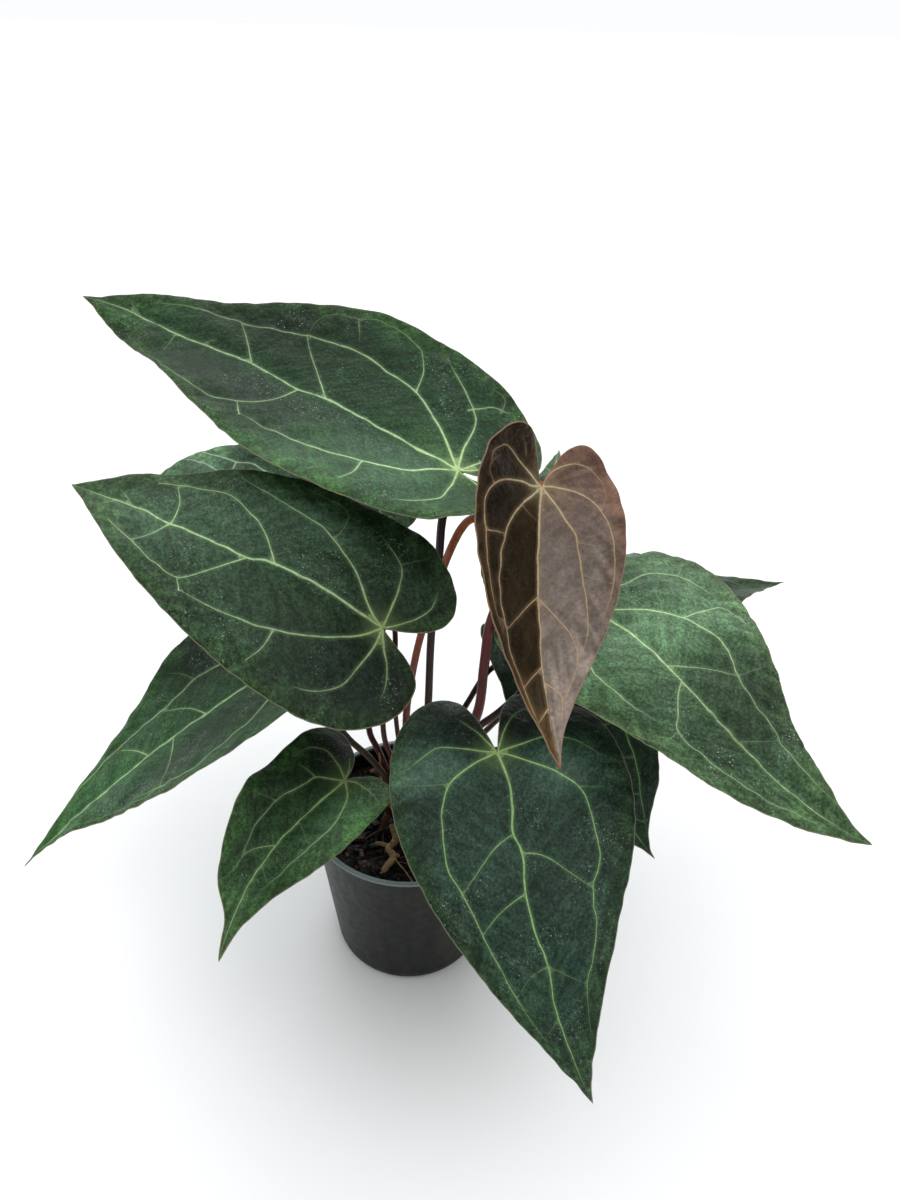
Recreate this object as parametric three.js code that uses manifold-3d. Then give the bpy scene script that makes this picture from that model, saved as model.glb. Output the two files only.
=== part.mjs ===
// Potted velvet-leaved anthurium hybrid: a twelve-leaved plant in its small nursery pot.
// Units are millimetres, +Z is up. The origin is the centre of the pot's underside.
// Each blade is one thin curved solid, each leaf stalk (petiole) another, and all stalks
// rise from one short crown that stands in a plain hole in the bark mix.

import * as THREE from 'three';
import * as BufferGeometryUtils from 'three/addons/utils/BufferGeometryUtils.js';
import Module from 'manifold-3d';

const wasm = await Module();
wasm.setup();

// Driving dimensions: pot and bark mix

const FIT_GAP = 0.3;              // clear gap kept between pieces that touch
const POT_HEIGHT = 87;
const POT_RIM_RADIUS = 49;
const POT_NECK_RADIUS = 47.6;     // outer wall just under the rim
const POT_HEEL_RADIUS = 39;       // outer wall where the rounded base begins
const POT_FOOT_RADIUS = 34;       // edge of the flat underside
const POT_WALL = 0.9;
const RIM_DEPTH = 3.4;
const POT_SIDES = 40;
const DRAIN_HOLES = 5;
const DRAIN_RADIUS = 4;
const DRAIN_CIRCLE = 23;

const MIX_LEVEL = 77;             // mean height of the mix surface
const MIX_ROUGHNESS = 1.1;
const MIX_SIDES = 26;
const MIX_RINGS = 5;
const BARK_CHIPS = 34;
const BARK_SEED = 11;

// Driving dimensions: crown

const CROWN_FOOT = 58;
const CROWN_TOP = 98;
const CROWN_RADIUS = 9;
const CROWN_TOP_RADIUS = 6;
const CROWN_SIDES = 16;
const SCAR_DEPTH = 0.5;           // leaf scars ring the crown

// Driving dimensions: blades

const BLADE_THICKNESS = 0.8;
const KEEL_DEPTH = 0.8;           // midrib stands this far out of the underside
const KEEL_HALF_WIDTH = 1.5;
const KEEL_END = 0.16;            // how far out the keel stops, of the first step of margin
const VEIN_SINK = 0.7;            // main veins lie this far below the blade between them
const VEIN_EVERY = 3;             // one grid ray in three is a main vein
const ROUND = 0.55;               // handle length that makes a quarter of an ellipse
const RAY_SPREAD = 0.62;          // veins leave the stalk wider than they arrive at the edge
const RING_PITCH = 25;            // blade length for each ring of the grid
const RINGS = { least: 5, most: 8 };
const RAY_PITCH = 9.5;            // blade length for each ray on one side
const RAYS = { least: 12, most: 18 };
const SINUS_CORNER = 0.42;        // where the last ray leaves the outline, along its last curve

// Driving dimensions: stalks

const STALK_SIDES = 8;
const STALK_STEP = 15;            // length of one step along a stalk
const SHEATH_SWELL = 1.35;        // the foot of a stalk is this much thicker
const SHEATH_LENGTH = 16;
const KNEE_SWELL = 1.3;           // the joint under the blade
const KNEE_LENGTH = 8;
const SEAT_DEPTH = 0.8;           // a stalk ends this far under the middle of its blade

// Leaves. at: where stalk and blade meet. heading, pitch, roll: degrees, heading from +X
// towards +Y. length, left, right, lobe: blade sizes from the stalk, seen from above with
// the tip ahead. droop, twist, fold, curl: degrees. sway, snake: how the midrib swings
// left and back. waves: heights of the margin's waves from tip to sinus, left half and
// right half. route: the stalk's way from the crown. radius: of the stalk.

const LEAVES = [
  {
    name: 'top', at: [20, 21, 261], heading: 157, pitch: 20, roll: 1,
    length: 192, left: 57, right: 60, widest: 0.19, lobe: 31, lobeMid: 0.29,
    sinus: 14, tipAngle: 21, taper: 0.46, shoulder: 0.25,
    droop: -11, sway: 4, snake: -6, twist: -22, lobeBend: 32,
    fold: [9, 12], curl: [-13, 14],
    waves: [[-4, 0.5, 0.5, 0, 1, -1, 0], [2, -1.5, 0, 1, -1, 0.5, -0.5]],
    radius: 1.8,
    route: [[5, 3, 99], [8, 4, 125], [9, 6, 151], [10, 9, 187], [13, 12, 226], [14, 15, 241]],
    colour: 0x24462f, stalkColour: 0x2a1418,
  },
  {
    name: 'left', at: [-8, -34, 219], heading: 166, pitch: 30, roll: -13,
    length: 146, left: 48, right: 44, widest: 0.08, lobe: 23, lobeMid: 0.44,
    sinus: 23, tipAngle: 24, taper: 0.29, shoulder: 0.42,
    droop: -34, sway: 6, snake: -16, twist: -9, lobeBend: 16,
    fold: [-2, 17], curl: [-26, -4],
    waves: [[-0.5, 0, 1.5, 0.5, -0.5, -0.5, 0.5], [1, -1, 1.5, 0.5, -1, 0.5, -1]],
    radius: 1.1,
    route: [[-3, -7, 95], [-4, -7, 131], [-5, -9, 148], [-6, -16, 175]],
    colour: 0x22382a, stalkColour: 0x3a1616,
  },
  {
    name: 'bronze', at: [48, -44, 286], heading: -95, pitch: -35, roll: -28,
    length: 94, left: 31, right: 31, widest: 0.14, lobe: 19, lobeMid: 0.43,
    sinus: 23, tipAngle: 17, taper: 0.24, shoulder: 0.41,
    droop: 0, sway: 4, snake: 17, twist: 9, lobeBend: 24,
    fold: [20, 28], curl: [-19, -12],
    waves: [[-0.5, 0.5, 0, 0, 1, 0, -1], [-1, 0, 1, 0.5, -0.5, -0.5, -0.5]],
    radius: 1.7,
    route: [
      [-1, -2, 104], [-1, -1, 125], [-1, 0, 147], [2, 0, 172], [6, 1, 193], [11, 2, 210],
      [16, 2, 229], [22, -3, 247], [26, -8, 254], [32, -15, 257], [37, -24, 261], [42, -34, 270],
    ],
    colour: 0x4a382d, stalkColour: 0x6e3424,
  },
  {
    name: 'right', at: [78, 6, 203], heading: -42, pitch: 6, roll: 9,
    length: 142, left: 54, right: 46, widest: 0.08, lobe: 33, lobeMid: 0.42,
    sinus: 14, tipAngle: 21, taper: 0.37, shoulder: 0.19,
    droop: -33, sway: -62, snake: 67, twist: 17, lobeBend: -22,
    fold: [5, 5], curl: [-12, -17],
    waves: [[2.5, -1.5, 0, 0, 1, -1, 0], [1, 0, 1, -0.5, -0.5, 0, 0]],
    radius: 1.7,
    route: [
      [7, -7, 92], [14, -7, 112], [23, -6, 134], [33, -6, 146],
      [41, -7, 155], [52, -5, 167], [66, 1, 183],
    ],
    colour: 0x36603f, stalkColour: 0x2a1418,
  },
  {
    name: 'front', at: [39, -42, 163], heading: -77, pitch: -23, roll: 4,
    length: 141, left: 53, right: 47, widest: 0.11, lobe: 32, lobeMid: 0.35,
    sinus: 14, tipAngle: 15, taper: 0.28, shoulder: 0.29,
    droop: -42, sway: -1, snake: 17, twist: 12, lobeBend: -32,
    fold: [-1, 4], curl: [-7, -11],
    waves: [[1.5, 0, -1, 0.5, 0, 0.5, -1], [-1, 0.5, 0, 0, -0.5, 0, 0.5]],
    radius: 1.8, route: [[3, -9, 87], [16, -18, 116]],
    colour: 0x223e30, stalkColour: 0x3a1616,
  },
  {
    name: 'small', at: [-28, -22, 125], heading: -132, pitch: -4, roll: -7,
    length: 90, left: 25, right: 31, widest: 0.11, lobe: 17, lobeMid: 0.66,
    sinus: 12, tipAngle: 21, taper: 0.33, shoulder: 0.44,
    droop: -25, sway: 2, snake: 32, twist: -6, lobeBend: -33,
    fold: [0, 13], curl: [-6, 5],
    waves: [[-2, 0.5, -0.5, -1, -0.5, 1.5, -0.5], [1.5, -1, -1, 2.5, -3, 2, 0]],
    radius: 1.4, route: [[-8, -5, 87], [-17, -13, 105]],
    colour: 0x24421f, stalkColour: 0x3a2a1a,
  },
  {
    name: 'lower_left', at: [-54, 29, 159], heading: -155, pitch: -22, roll: 4,
    length: 173, left: 58, right: 57, widest: 0.13, lobe: 36, lobeMid: 0.5,
    sinus: 14, tipAngle: 10, taper: 0.39, shoulder: 0.34,
    droop: -22, sway: -5, snake: -3, twist: -5, lobeBend: 0,
    fold: [7, 3], curl: [19, 15],
    waves: [[2, -1, -0.5, -0.5, -0.5, 0.5, 0], [1.5, 0, -2, 1.5, -1, 0, 0]],
    radius: 1.6,
    route: [[-9, 2, 87], [-12, 1, 106], [-20, 5, 115], [-30, 9, 123], [-43, 18, 137]],
    colour: 0x2e5534, stalkColour: 0x3c3a20,
  },
  {
    name: 'rear_left', at: [-43, 92, 189], heading: 160, pitch: 6, roll: -24,
    length: 164, left: 49, right: 46, widest: 0.14, lobe: 38, lobeMid: 0.5,
    sinus: 14, tipAngle: 16, taper: 0.29, shoulder: 0.51,
    droop: -34, sway: 0, snake: 3, twist: -11, lobeBend: 0,
    fold: [8, 20], curl: [-10, -11],
    waves: [[0, 0.5, 0, -0.5, 0, 0.5, 0], [1, 2, 0, -1, 0, 0, 0]],
    radius: 1.6,
    route: [
      [-6, 8, 87], [-11, 7, 104], [-16, 10, 116], [-20, 14, 123],
      [-22, 45, 142], [-26, 76, 158], [-38, 95, 168],
    ],
    colour: 0x2c4f36, stalkColour: 0x3a1616,
  },
  {
    name: 'lower_right', at: [63, 36, 148], heading: -51, pitch: -39, roll: 13,
    length: 118, left: 40, right: 34, widest: 0.19, lobe: 31, lobeMid: 0.53,
    sinus: 14, tipAngle: 9, taper: 0.31, shoulder: 0.56,
    droop: -30, sway: 8, snake: 13, twist: 1, lobeBend: -8,
    fold: [23, 25], curl: [-2, 10],
    waves: [[1, 1, -2, 2, -2, 2, -1], [-0.5, 1.5, -2, 2, -2, 1.5, -1]],
    radius: 1.5,
    route: [[4, 9, 87], [16, 12, 118], [27, 18, 138], [38, 29, 151], [51, 38, 153]],
    colour: 0x16241c, stalkColour: 0x241214,
  },
  {
    name: 'rear_right', at: [105, 100, 146], heading: 19, pitch: -2, roll: -5,
    length: 128, left: 39, right: 39, widest: 0.11, lobe: 33, lobeMid: 0.5,
    sinus: 14, tipAngle: 12, taper: 0.36, shoulder: 0.41,
    droop: -9, sway: 4, snake: 7, twist: -2, lobeBend: 0,
    fold: [8, 11], curl: [-12, -9],
    waves: [[0.5, -1, 1, -0.5, 1, -1, 0.5], [-0.5, 1, -1, 1, -0.5, 1, -0.5]],
    radius: 1.5,
    route: [[8, 5, 86], [20, 9, 107], [36, 15, 123], [60, 43, 130], [90, 84, 134]],
    colour: 0x2a3d2a, stalkColour: 0x4a4a28,
  },
  {
    name: 'rear', at: [57, 0, 232], heading: 85, pitch: 5, roll: -30,
    length: 108, left: 29, right: 29, widest: 0.13, lobe: 26, lobeMid: 0.49,
    sinus: 14, tipAngle: 9, taper: 0.35, shoulder: 0.41,
    droop: -10, sway: -1, snake: 0, twist: -6, lobeBend: 2,
    fold: [13, 20], curl: [4, -2],
    waves: [[0.5, -1, 1, -1, 1, -0.5, 0.5], [-0.5, 1, -1, 0.5, -1, 1, -0.5]],
    radius: 2.3,
    route: [
      [9, -1, 88], [20, 1, 112], [32, 2, 147], [34, 3, 173],
      [36, 4, 197], [42, 3, 213], [54, 1, 222],
    ],
    colour: 0x2c4a30, stalkColour: 0x4a201a,
  },
  {
    name: 'rear_inner', at: [-14, 36, 193], heading: 97, pitch: 13, roll: -24,
    length: 62, left: 21, right: 22, widest: 0.12, lobe: 16, lobeMid: 0.5,
    sinus: 14, tipAngle: 9, taper: 0.36, shoulder: 0.42,
    droop: -9, sway: -1, snake: 1, twist: -3, lobeBend: 0,
    fold: [11, 15], curl: [-11, -9],
    waves: [[0.5, -0.5, 1, -0.5, 0.5, -0.5, 0], [-0.5, 0.5, -1, 0.5, -0.5, 0.5, 0]],
    radius: 1.4,
    route: [[-1, 8, 92], [-9, 3, 118], [-12, 5, 128], [-12, 9, 148], [-7, 20, 172]],
    colour: 0x2a4a32, stalkColour: 0x3a1616,
  },
];

// Small helpers

const radians = THREE.MathUtils.degToRad;

function seededRandom(seed) {
  let state = seed;
  return () => {
    state = (state * 1664525 + 1013904223) % 4294967296;
    return state / 4294967296;
  };
}

function stepCount(length, pitch, limits) {
  return THREE.MathUtils.clamp(Math.round(length / pitch), limits.least, limits.most);
}

function indexedGeometry(positions, indices) {
  const geometry = new THREE.BufferGeometry();
  geometry.setAttribute('position', new THREE.Float32BufferAttribute(positions, 3));
  geometry.setIndex(indices);
  return geometry;
}

function toSolid(geometry) {
  const bare = geometry.clone();
  bare.deleteAttribute('normal');
  bare.deleteAttribute('uv');
  const merged = BufferGeometryUtils.mergeVertices(bare, 1e-3);
  return new wasm.Manifold(new wasm.Mesh({
    numProp: 3,
    vertProperties: new Float32Array(merged.attributes.position.array),
    triVerts: new Uint32Array(merged.index.array),
  }));
}

function toGeometry(solid) {
  const mesh = solid.getMesh();
  return indexedGeometry(Array.from(mesh.vertProperties), Array.from(mesh.triVerts));
}

function largestBody(solid) {
  const bodies = solid.decompose();
  return bodies.reduce((best, body) => (body.volume() > best.volume() ? body : best));
}

function finish(name, geometry, colour, roughness) {
  const material = new THREE.MeshStandardMaterial({ color: colour, roughness, metalness: 0 });
  geometry.computeVertexNormals();
  const mesh = new THREE.Mesh(geometry, material);
  mesh.name = name;
  return mesh;
}

// Blade outline, in flat blade coordinates (along the midrib, across it)

function outlineCurves(leaf, side) {
  const reach = side > 0 ? leaf.left : leaf.right;
  const lobeMid = leaf.lobeMid * reach;
  const widest = leaf.widest * leaf.length;
  const tip = radians(leaf.tipAngle);
  const sinus = radians(leaf.sinus);
  const at = (along, across) => new THREE.Vector2(along, across * side);
  const tipPoint = at(leaf.length, 0);
  const widePoint = at(widest, reach);
  const lobePoint = at(-leaf.lobe, lobeMid);
  const run = leaf.taper * leaf.length;
  return [
    new THREE.CubicBezierCurve(
      tipPoint,
      at(leaf.length - run * Math.cos(tip), run * Math.sin(tip)),
      at(widest + leaf.shoulder * leaf.length, reach),
      widePoint,
    ),
    new THREE.CubicBezierCurve(
      widePoint,
      at(widest - ROUND * (widest + leaf.lobe), reach),
      at(-leaf.lobe, lobeMid + ROUND * (reach - lobeMid)),
      lobePoint,
    ),
    new THREE.CubicBezierCurve(
      lobePoint,
      at(-leaf.lobe, lobeMid * (1 - ROUND)),
      at(-0.5 * leaf.lobe * Math.cos(sinus), 0.5 * leaf.lobe * Math.sin(sinus)),
      at(0, 0),
    ),
  ];
}

// The margin from the tip round to the sinus corner, as evenly spaced points

function marginPoints(leaf, side, count) {
  const [body, shoulder, lobe] = outlineCurves(leaf, side);
  const fine = [];
  for (let i = 0; i <= 60; i += 1) fine.push(body.getPoint(i / 60));
  for (let i = 1; i <= 30; i += 1) fine.push(shoulder.getPoint(i / 30));
  for (let i = 1; i <= 12; i += 1) fine.push(lobe.getPoint((SINUS_CORNER * i) / 12));
  const lengths = [0];
  for (let i = 1; i < fine.length; i += 1) {
    lengths.push(lengths[i - 1] + fine[i].distanceTo(fine[i - 1]));
  }
  const total = lengths[lengths.length - 1];
  const points = [];
  let k = 1;
  for (let j = 0; j <= count; j += 1) {
    const target = (total * j) / count;
    while (k < fine.length - 1 && lengths[k] < target) k += 1;
    const share = (target - lengths[k - 1]) / (lengths[k] - lengths[k - 1]);
    points.push(fine[k - 1].clone().lerp(fine[k], share));
  }
  return points;
}

// Blade surface: flat coordinates to space

function bladeFrame(leaf) {
  const heading = radians(leaf.heading);
  const pitch = radians(leaf.pitch);
  const roll = radians(leaf.roll);
  const along = new THREE.Vector3(
    Math.cos(heading) * Math.cos(pitch),
    Math.sin(heading) * Math.cos(pitch),
    Math.sin(pitch),
  );
  const level = new THREE.Vector3(-Math.sin(heading), Math.cos(heading), 0);
  const up = new THREE.Vector3().crossVectors(along, level);
  const across = level.multiplyScalar(Math.cos(roll)).addScaledVector(up, Math.sin(roll));
  const normal = new THREE.Vector3().crossVectors(along, across);
  return { along, across, normal };
}

function turned(vector, towards, angle) {
  return vector.clone().multiplyScalar(Math.cos(angle)).addScaledVector(towards, Math.sin(angle));
}

function arc(curvature, distance) {
  const k = Math.abs(curvature) < 1e-9 ? 1e-9 : curvature;
  return [Math.sin(k * distance) / k, (1 - Math.cos(k * distance)) / k];
}

function bladePoint(leaf, flat, lift) {
  const { along, across, normal } = bladeFrame(leaf);
  const isLobe = flat.x < 0;
  const bend = isLobe ? radians(leaf.lobeBend) / leaf.lobe : radians(leaf.droop) / leaf.length;
  const [run, rise] = arc(bend, Math.abs(flat.x));
  const turn = isLobe ? -bend * Math.abs(flat.x) : bend * flat.x;
  const tangent = isLobe ? -run : run;

  const share = Math.max(flat.x, 0) / leaf.length;
  const sway = Math.tan(radians(leaf.sway)) / 2;
  const snake = Math.tan(radians(leaf.snake)) / 3;
  const sideways = leaf.length * (sway * share ** 2 + snake * share ** 3);
  const swing = Math.atan(2 * sway * share + 3 * snake * share ** 2);

  const half = flat.y >= 0 ? 0 : 1;
  const reach = half === 0 ? leaf.left : leaf.right;
  const fold = radians(leaf.fold[half]);
  const distance = Math.abs(flat.y);
  let curl = radians(leaf.curl[half]) / reach;
  if (Math.abs(curl) < 1e-9) curl = 1e-9;
  const out = ((Math.sin(fold + curl * distance) - Math.sin(fold)) / curl) * Math.sign(flat.y);
  const high = (Math.cos(fold) - Math.cos(fold + curl * distance)) / curl;
  const twist = radians(leaf.twist) * THREE.MathUtils.clamp(flat.x / leaf.length, -0.3, 1);
  const outTwisted = out * Math.cos(twist) - high * Math.sin(twist);
  const highTwisted = out * Math.sin(twist) + high * Math.cos(twist) + lift;

  const localAlong = turned(along, normal, turn);
  const localNormal = turned(normal, along, -turn);
  const localAcross = turned(across, localAlong, -swing);
  return new THREE.Vector3(...leaf.at)
    .addScaledVector(along, tangent)
    .addScaledVector(normal, rise)
    .addScaledVector(across, sideways)
    .addScaledVector(localAcross, outTwisted)
    .addScaledVector(localNormal, highTwisted);
}

// Relief of the blade: waves along the margin and sunken main veins

function bladeLift(leaf, half, marginShare, edgeShare, isVein) {
  const heights = [0, ...leaf.waves[half], 0];
  const spline = new THREE.SplineCurve(heights.map((height, i) => new THREE.Vector2(i, height)));
  const wave = spline.getPoint(marginShare).y * edgeShare ** 3;
  const sink = VEIN_SINK * (1 - edgeShare ** 2) * Math.min(edgeShare * 4, 1);
  return isVein ? wave - sink : wave;
}

// Grid of a blade: rays run from the stalk to the margin and curve forwards as the veins do

function bladeGrid(leaf) {
  const rings = stepCount(leaf.length, RING_PITCH, RINGS);
  const rays = stepCount(leaf.length, RAY_PITCH, RAYS);
  const vertices = [bladePoint(leaf, new THREE.Vector2(0, 0), 0)];
  const keel = [0];
  const add = (flat, lift, keelShare) => {
    vertices.push(bladePoint(leaf, flat, lift));
    keel.push(keelShare);
    return vertices.length - 1;
  };

  const midrib = [0];
  for (let ring = 1; ring <= rings; ring += 1) {
    const share = ring / rings;
    midrib.push(add(new THREE.Vector2(leaf.length * share, 0), 0, 1 - share));
  }

  const sides = [1, -1].map((side) => {
    const half = side > 0 ? 0 : 1;
    const margin = marginPoints(leaf, side, rays);
    const column = [];

    const keelEnd = margin[0].clone().lerp(margin[1], KEEL_END);
    const keelRay = [0];
    for (let ring = 1; ring <= rings; ring += 1) {
      const share = ring / rings;
      const across = side * KEEL_HALF_WIDTH * (1 - share) + keelEnd.y * share;
      keelRay.push(add(new THREE.Vector2(keelEnd.x * share, across), 0, 0));
    }
    column.push(keelRay);

    for (let ray = 1; ray < rays; ray += 1) {
      const end = margin[ray];
      const angle = Math.abs(Math.atan2(end.y, end.x));
      const start = angle + RAY_SPREAD * Math.sin(angle) * (angle < Math.PI / 2 ? 1 : Math.sin(angle));
      const handle = new THREE.Vector2(Math.cos(start), side * Math.sin(start));
      const curve = new THREE.QuadraticBezierCurve(
        new THREE.Vector2(0, 0),
        handle.multiplyScalar(end.length() * 0.45),
        end,
      );
      const line = [0];
      for (let ring = 1; ring <= rings; ring += 1) {
        const share = ring / rings;
        const lift = bladeLift(leaf, half, ray / rays, share, ray % VEIN_EVERY === 0);
        line.push(add(curve.getPoint(share), lift, 0));
      }
      column.push(line);
    }

    const sinusEdge = outlineCurves(leaf, side)[2];
    const edge = [0];
    for (let ring = 1; ring <= rings; ring += 1) {
      const share = ring / rings;
      edge.push(add(sinusEdge.getPoint(1 - (1 - SINUS_CORNER) * share), 0, 0));
    }
    column.push(edge);
    return column;
  });
  const columns = [...sides[1].reverse(), midrib, ...sides[0]];
  return { vertices, keel, columns, rings };
}

// Blade solid: the grid's triangles twice, for the upper and the lower face, and a rim

function bladeGeometry(leaf, thickness) {
  const { vertices, keel, columns, rings } = bladeGrid(leaf);
  const faces = [];
  for (let c = 0; c < columns.length - 1; c += 1) {
    const near = columns[c];
    const far = columns[c + 1];
    faces.push([0, near[1], far[1]]);
    for (let ring = 1; ring < rings; ring += 1) {
      faces.push([near[ring], near[ring + 1], far[ring + 1]]);
      faces.push([near[ring], far[ring + 1], far[ring]]);
    }
  }

  const normals = vertices.map(() => new THREE.Vector3());
  const edgeA = new THREE.Vector3();
  const edgeB = new THREE.Vector3();
  faces.forEach(([a, b, c]) => {
    edgeA.subVectors(vertices[b], vertices[a]);
    edgeB.subVectors(vertices[c], vertices[a]);
    const area = new THREE.Vector3().crossVectors(edgeA, edgeB);
    [a, b, c].forEach((index) => normals[index].add(area));
  });
  normals.forEach((normal) => normal.normalize());

  const positions = [];
  vertices.forEach((vertex, i) => {
    positions.push(...vertex.clone().addScaledVector(normals[i], thickness / 2).toArray());
  });
  vertices.forEach((vertex, i) => {
    const depth = thickness / 2 + KEEL_DEPTH * Math.sqrt(keel[i]);
    positions.push(...vertex.clone().addScaledVector(normals[i], -depth).toArray());
  });

  const lower = vertices.length;
  const indices = [];
  faces.forEach(([a, b, c]) => {
    indices.push(a, b, c);
    indices.push(a + lower, c + lower, b + lower);
  });
  const first = columns[0];
  const last = columns[columns.length - 1];
  const margin = columns.map((column) => column[rings]);
  const border = [...first.slice(0, -1), ...margin, ...last.slice(1, -1).reverse()];
  border.forEach((a, i) => {
    const b = border[(i + 1) % border.length];
    indices.push(a, a + lower, b);
    indices.push(b, a + lower, b + lower);
  });
  return indexedGeometry(positions, indices);
}

// Stalk: a tapered round tube from the crown to the blade, thicker at foot and knee

function stalkGeometry(leaf) {
  const frame = bladeFrame(leaf);
  const seat = new THREE.Vector3(...leaf.at);
  const knee = seat.clone().addScaledVector(frame.normal, -KNEE_LENGTH);
  const end = seat.clone().addScaledVector(frame.normal, -SEAT_DEPTH);
  const route = leaf.route.map((point) => new THREE.Vector3(...point));
  const foot = new THREE.Vector3(route[0].x * 0.2, route[0].y * 0.2, route[0].z - 7);
  const curve = new THREE.CatmullRomCurve3([foot, ...route, knee, end]);
  const length = curve.getLength();
  const steps = Math.max(8, Math.round(length / STALK_STEP)) + 3;
  const frames = curve.computeFrenetFrames(steps);
  const positions = [];
  for (let i = 0; i <= steps; i += 1) {
    const distance = (length * i) / steps;
    const sheath = 1 + (SHEATH_SWELL - 1) * Math.max(0, 1 - distance / SHEATH_LENGTH);
    const toKnee = Math.abs(length - distance - KNEE_LENGTH / 2);
    const knob = 1 + (KNEE_SWELL - 1) * Math.max(0, 1 - toKnee / KNEE_LENGTH);
    const radius = leaf.radius * sheath * knob;
    const centre = curve.getPointAt(i / steps);
    for (let side = 0; side < STALK_SIDES; side += 1) {
      const angle = (2 * Math.PI * side) / STALK_SIDES;
      const point = centre.clone()
        .addScaledVector(frames.normals[i], radius * Math.cos(angle))
        .addScaledVector(frames.binormals[i], radius * Math.sin(angle));
      positions.push(...point.toArray());
    }
  }
  const start = positions.length / 3;
  positions.push(...curve.getPointAt(0).toArray(), ...curve.getPointAt(1).toArray());
  const indices = [];
  for (let i = 0; i < steps; i += 1) {
    for (let side = 0; side < STALK_SIDES; side += 1) {
      const a = i * STALK_SIDES + side;
      const b = i * STALK_SIDES + ((side + 1) % STALK_SIDES);
      indices.push(a, b, b + STALK_SIDES);
      indices.push(a, b + STALK_SIDES, a + STALK_SIDES);
    }
  }
  const topRing = steps * STALK_SIDES;
  for (let side = 0; side < STALK_SIDES; side += 1) {
    const next = (side + 1) % STALK_SIDES;
    indices.push(start, next, side);
    indices.push(start + 1, topRing + side, topRing + next);
  }
  return indexedGeometry(positions, indices);
}

// Pot

function revolve(profile, sides) {
  const points = profile.map(([r, z]) => new THREE.Vector2(r, z));
  return new THREE.LatheGeometry(points, sides).rotateX(Math.PI / 2);
}

function potWallRadius(height) {
  const share = (height - 6) / (POT_HEIGHT - RIM_DEPTH - 6);
  return POT_HEEL_RADIUS + (POT_NECK_RADIUS - POT_HEEL_RADIUS) * share;
}

function potGeometry() {
  const neck = POT_HEIGHT - RIM_DEPTH;
  const bead = 0.5;
  const profile = [
    [0, 0],
    [POT_FOOT_RADIUS, 0],
    [POT_FOOT_RADIUS + 2.6, 1],
    [POT_FOOT_RADIUS + 4.2, 3],
    [POT_HEEL_RADIUS, 6],
    [POT_NECK_RADIUS, neck],
    [POT_RIM_RADIUS, neck + bead],
    [POT_RIM_RADIUS, POT_HEIGHT - bead],
    [POT_RIM_RADIUS - bead, POT_HEIGHT],
    [POT_NECK_RADIUS - POT_WALL + bead, POT_HEIGHT],
    [POT_NECK_RADIUS - POT_WALL, POT_HEIGHT - bead],
    [POT_NECK_RADIUS - POT_WALL, neck],
    [POT_HEEL_RADIUS - POT_WALL, 6],
    [POT_FOOT_RADIUS + 2.6, 2.6],
    [POT_FOOT_RADIUS - 1, 1.5],
    [0, 1.5],
  ];
  let solid = toSolid(revolve(profile, POT_SIDES));
  for (let i = 0; i < DRAIN_HOLES; i += 1) {
    const angle = (2 * Math.PI * i) / DRAIN_HOLES + 0.3;
    const drill = new THREE.CylinderGeometry(DRAIN_RADIUS, DRAIN_RADIUS, 6, 10).rotateX(Math.PI / 2);
    drill.translate(DRAIN_CIRCLE * Math.cos(angle), DRAIN_CIRCLE * Math.sin(angle), 0);
    solid = solid.subtract(toSolid(drill));
  }
  return toGeometry(solid);
}

// Bark mix: a plug that fills the pot, with a rough top and bark chips sunk into it

function barkChip(random) {
  const size = [4 + 7 * random(), 3 + 4 * random(), 2 + 2.5 * random()];
  const chip = new THREE.BoxGeometry(...size);
  const position = chip.attributes.position;
  const corners = new Map();
  for (let i = 0; i < position.count; i += 1) {
    const key = [position.getX(i), position.getY(i), position.getZ(i)].map(Math.sign).join();
    if (!corners.has(key)) corners.set(key, 0.62 + 0.38 * random());
    const share = corners.get(key);
    position.setXYZ(i, position.getX(i) * share, position.getY(i) * share, position.getZ(i) * share);
  }
  chip.rotateX(0.7 * (random() - 0.5));
  chip.rotateY(0.7 * (random() - 0.5));
  chip.rotateZ(Math.PI * random());
  return chip;
}

function mixGeometry(crownSolid) {
  const random = seededRandom(BARK_SEED);
  const inside = (height) => potWallRadius(height) - POT_WALL - FIT_GAP - 0.2;
  const top = inside(MIX_LEVEL);
  const base = 1.5 + FIT_GAP;
  const profile = [
    [0, base],
    [POT_FOOT_RADIUS - 1.5, base],
    [POT_FOOT_RADIUS + 2, 3.4],
    [inside(6.5), 6.5],
    [top, MIX_LEVEL],
  ];
  for (let ring = MIX_RINGS - 1; ring > 0; ring -= 1) {
    profile.push([(top * ring) / MIX_RINGS, MIX_LEVEL]);
  }
  profile.push([0, MIX_LEVEL]);
  const plug = revolve(profile, MIX_SIDES);
  const position = plug.attributes.position;
  const heights = new Map();
  for (let i = 0; i < position.count; i += 1) {
    if (position.getZ(i) > MIX_LEVEL - 0.01) {
      const place = [position.getX(i), position.getY(i)];
      const key = place.map((value) => Math.round(value * 100)).join();
      if (!heights.has(key)) heights.set(key, MIX_ROUGHNESS * 2 * (random() - 0.5));
      position.setZ(i, MIX_LEVEL + heights.get(key));
    }
  }
  let solid = toSolid(plug);
  for (let i = 0; i < BARK_CHIPS; i += 1) {
    const chip = barkChip(random);
    const distance = 12 + (top - 20) * Math.sqrt(random());
    const angle = 2 * Math.PI * ((i * 0.382) % 1);
    chip.translate(distance * Math.cos(angle), distance * Math.sin(angle), MIX_LEVEL + 0.3);
    solid = solid.add(toSolid(chip));
  }
  return toGeometry(largestBody(solid.subtract(crownSolid)));
}

// Crown: the short stem from which every stalk rises

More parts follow.
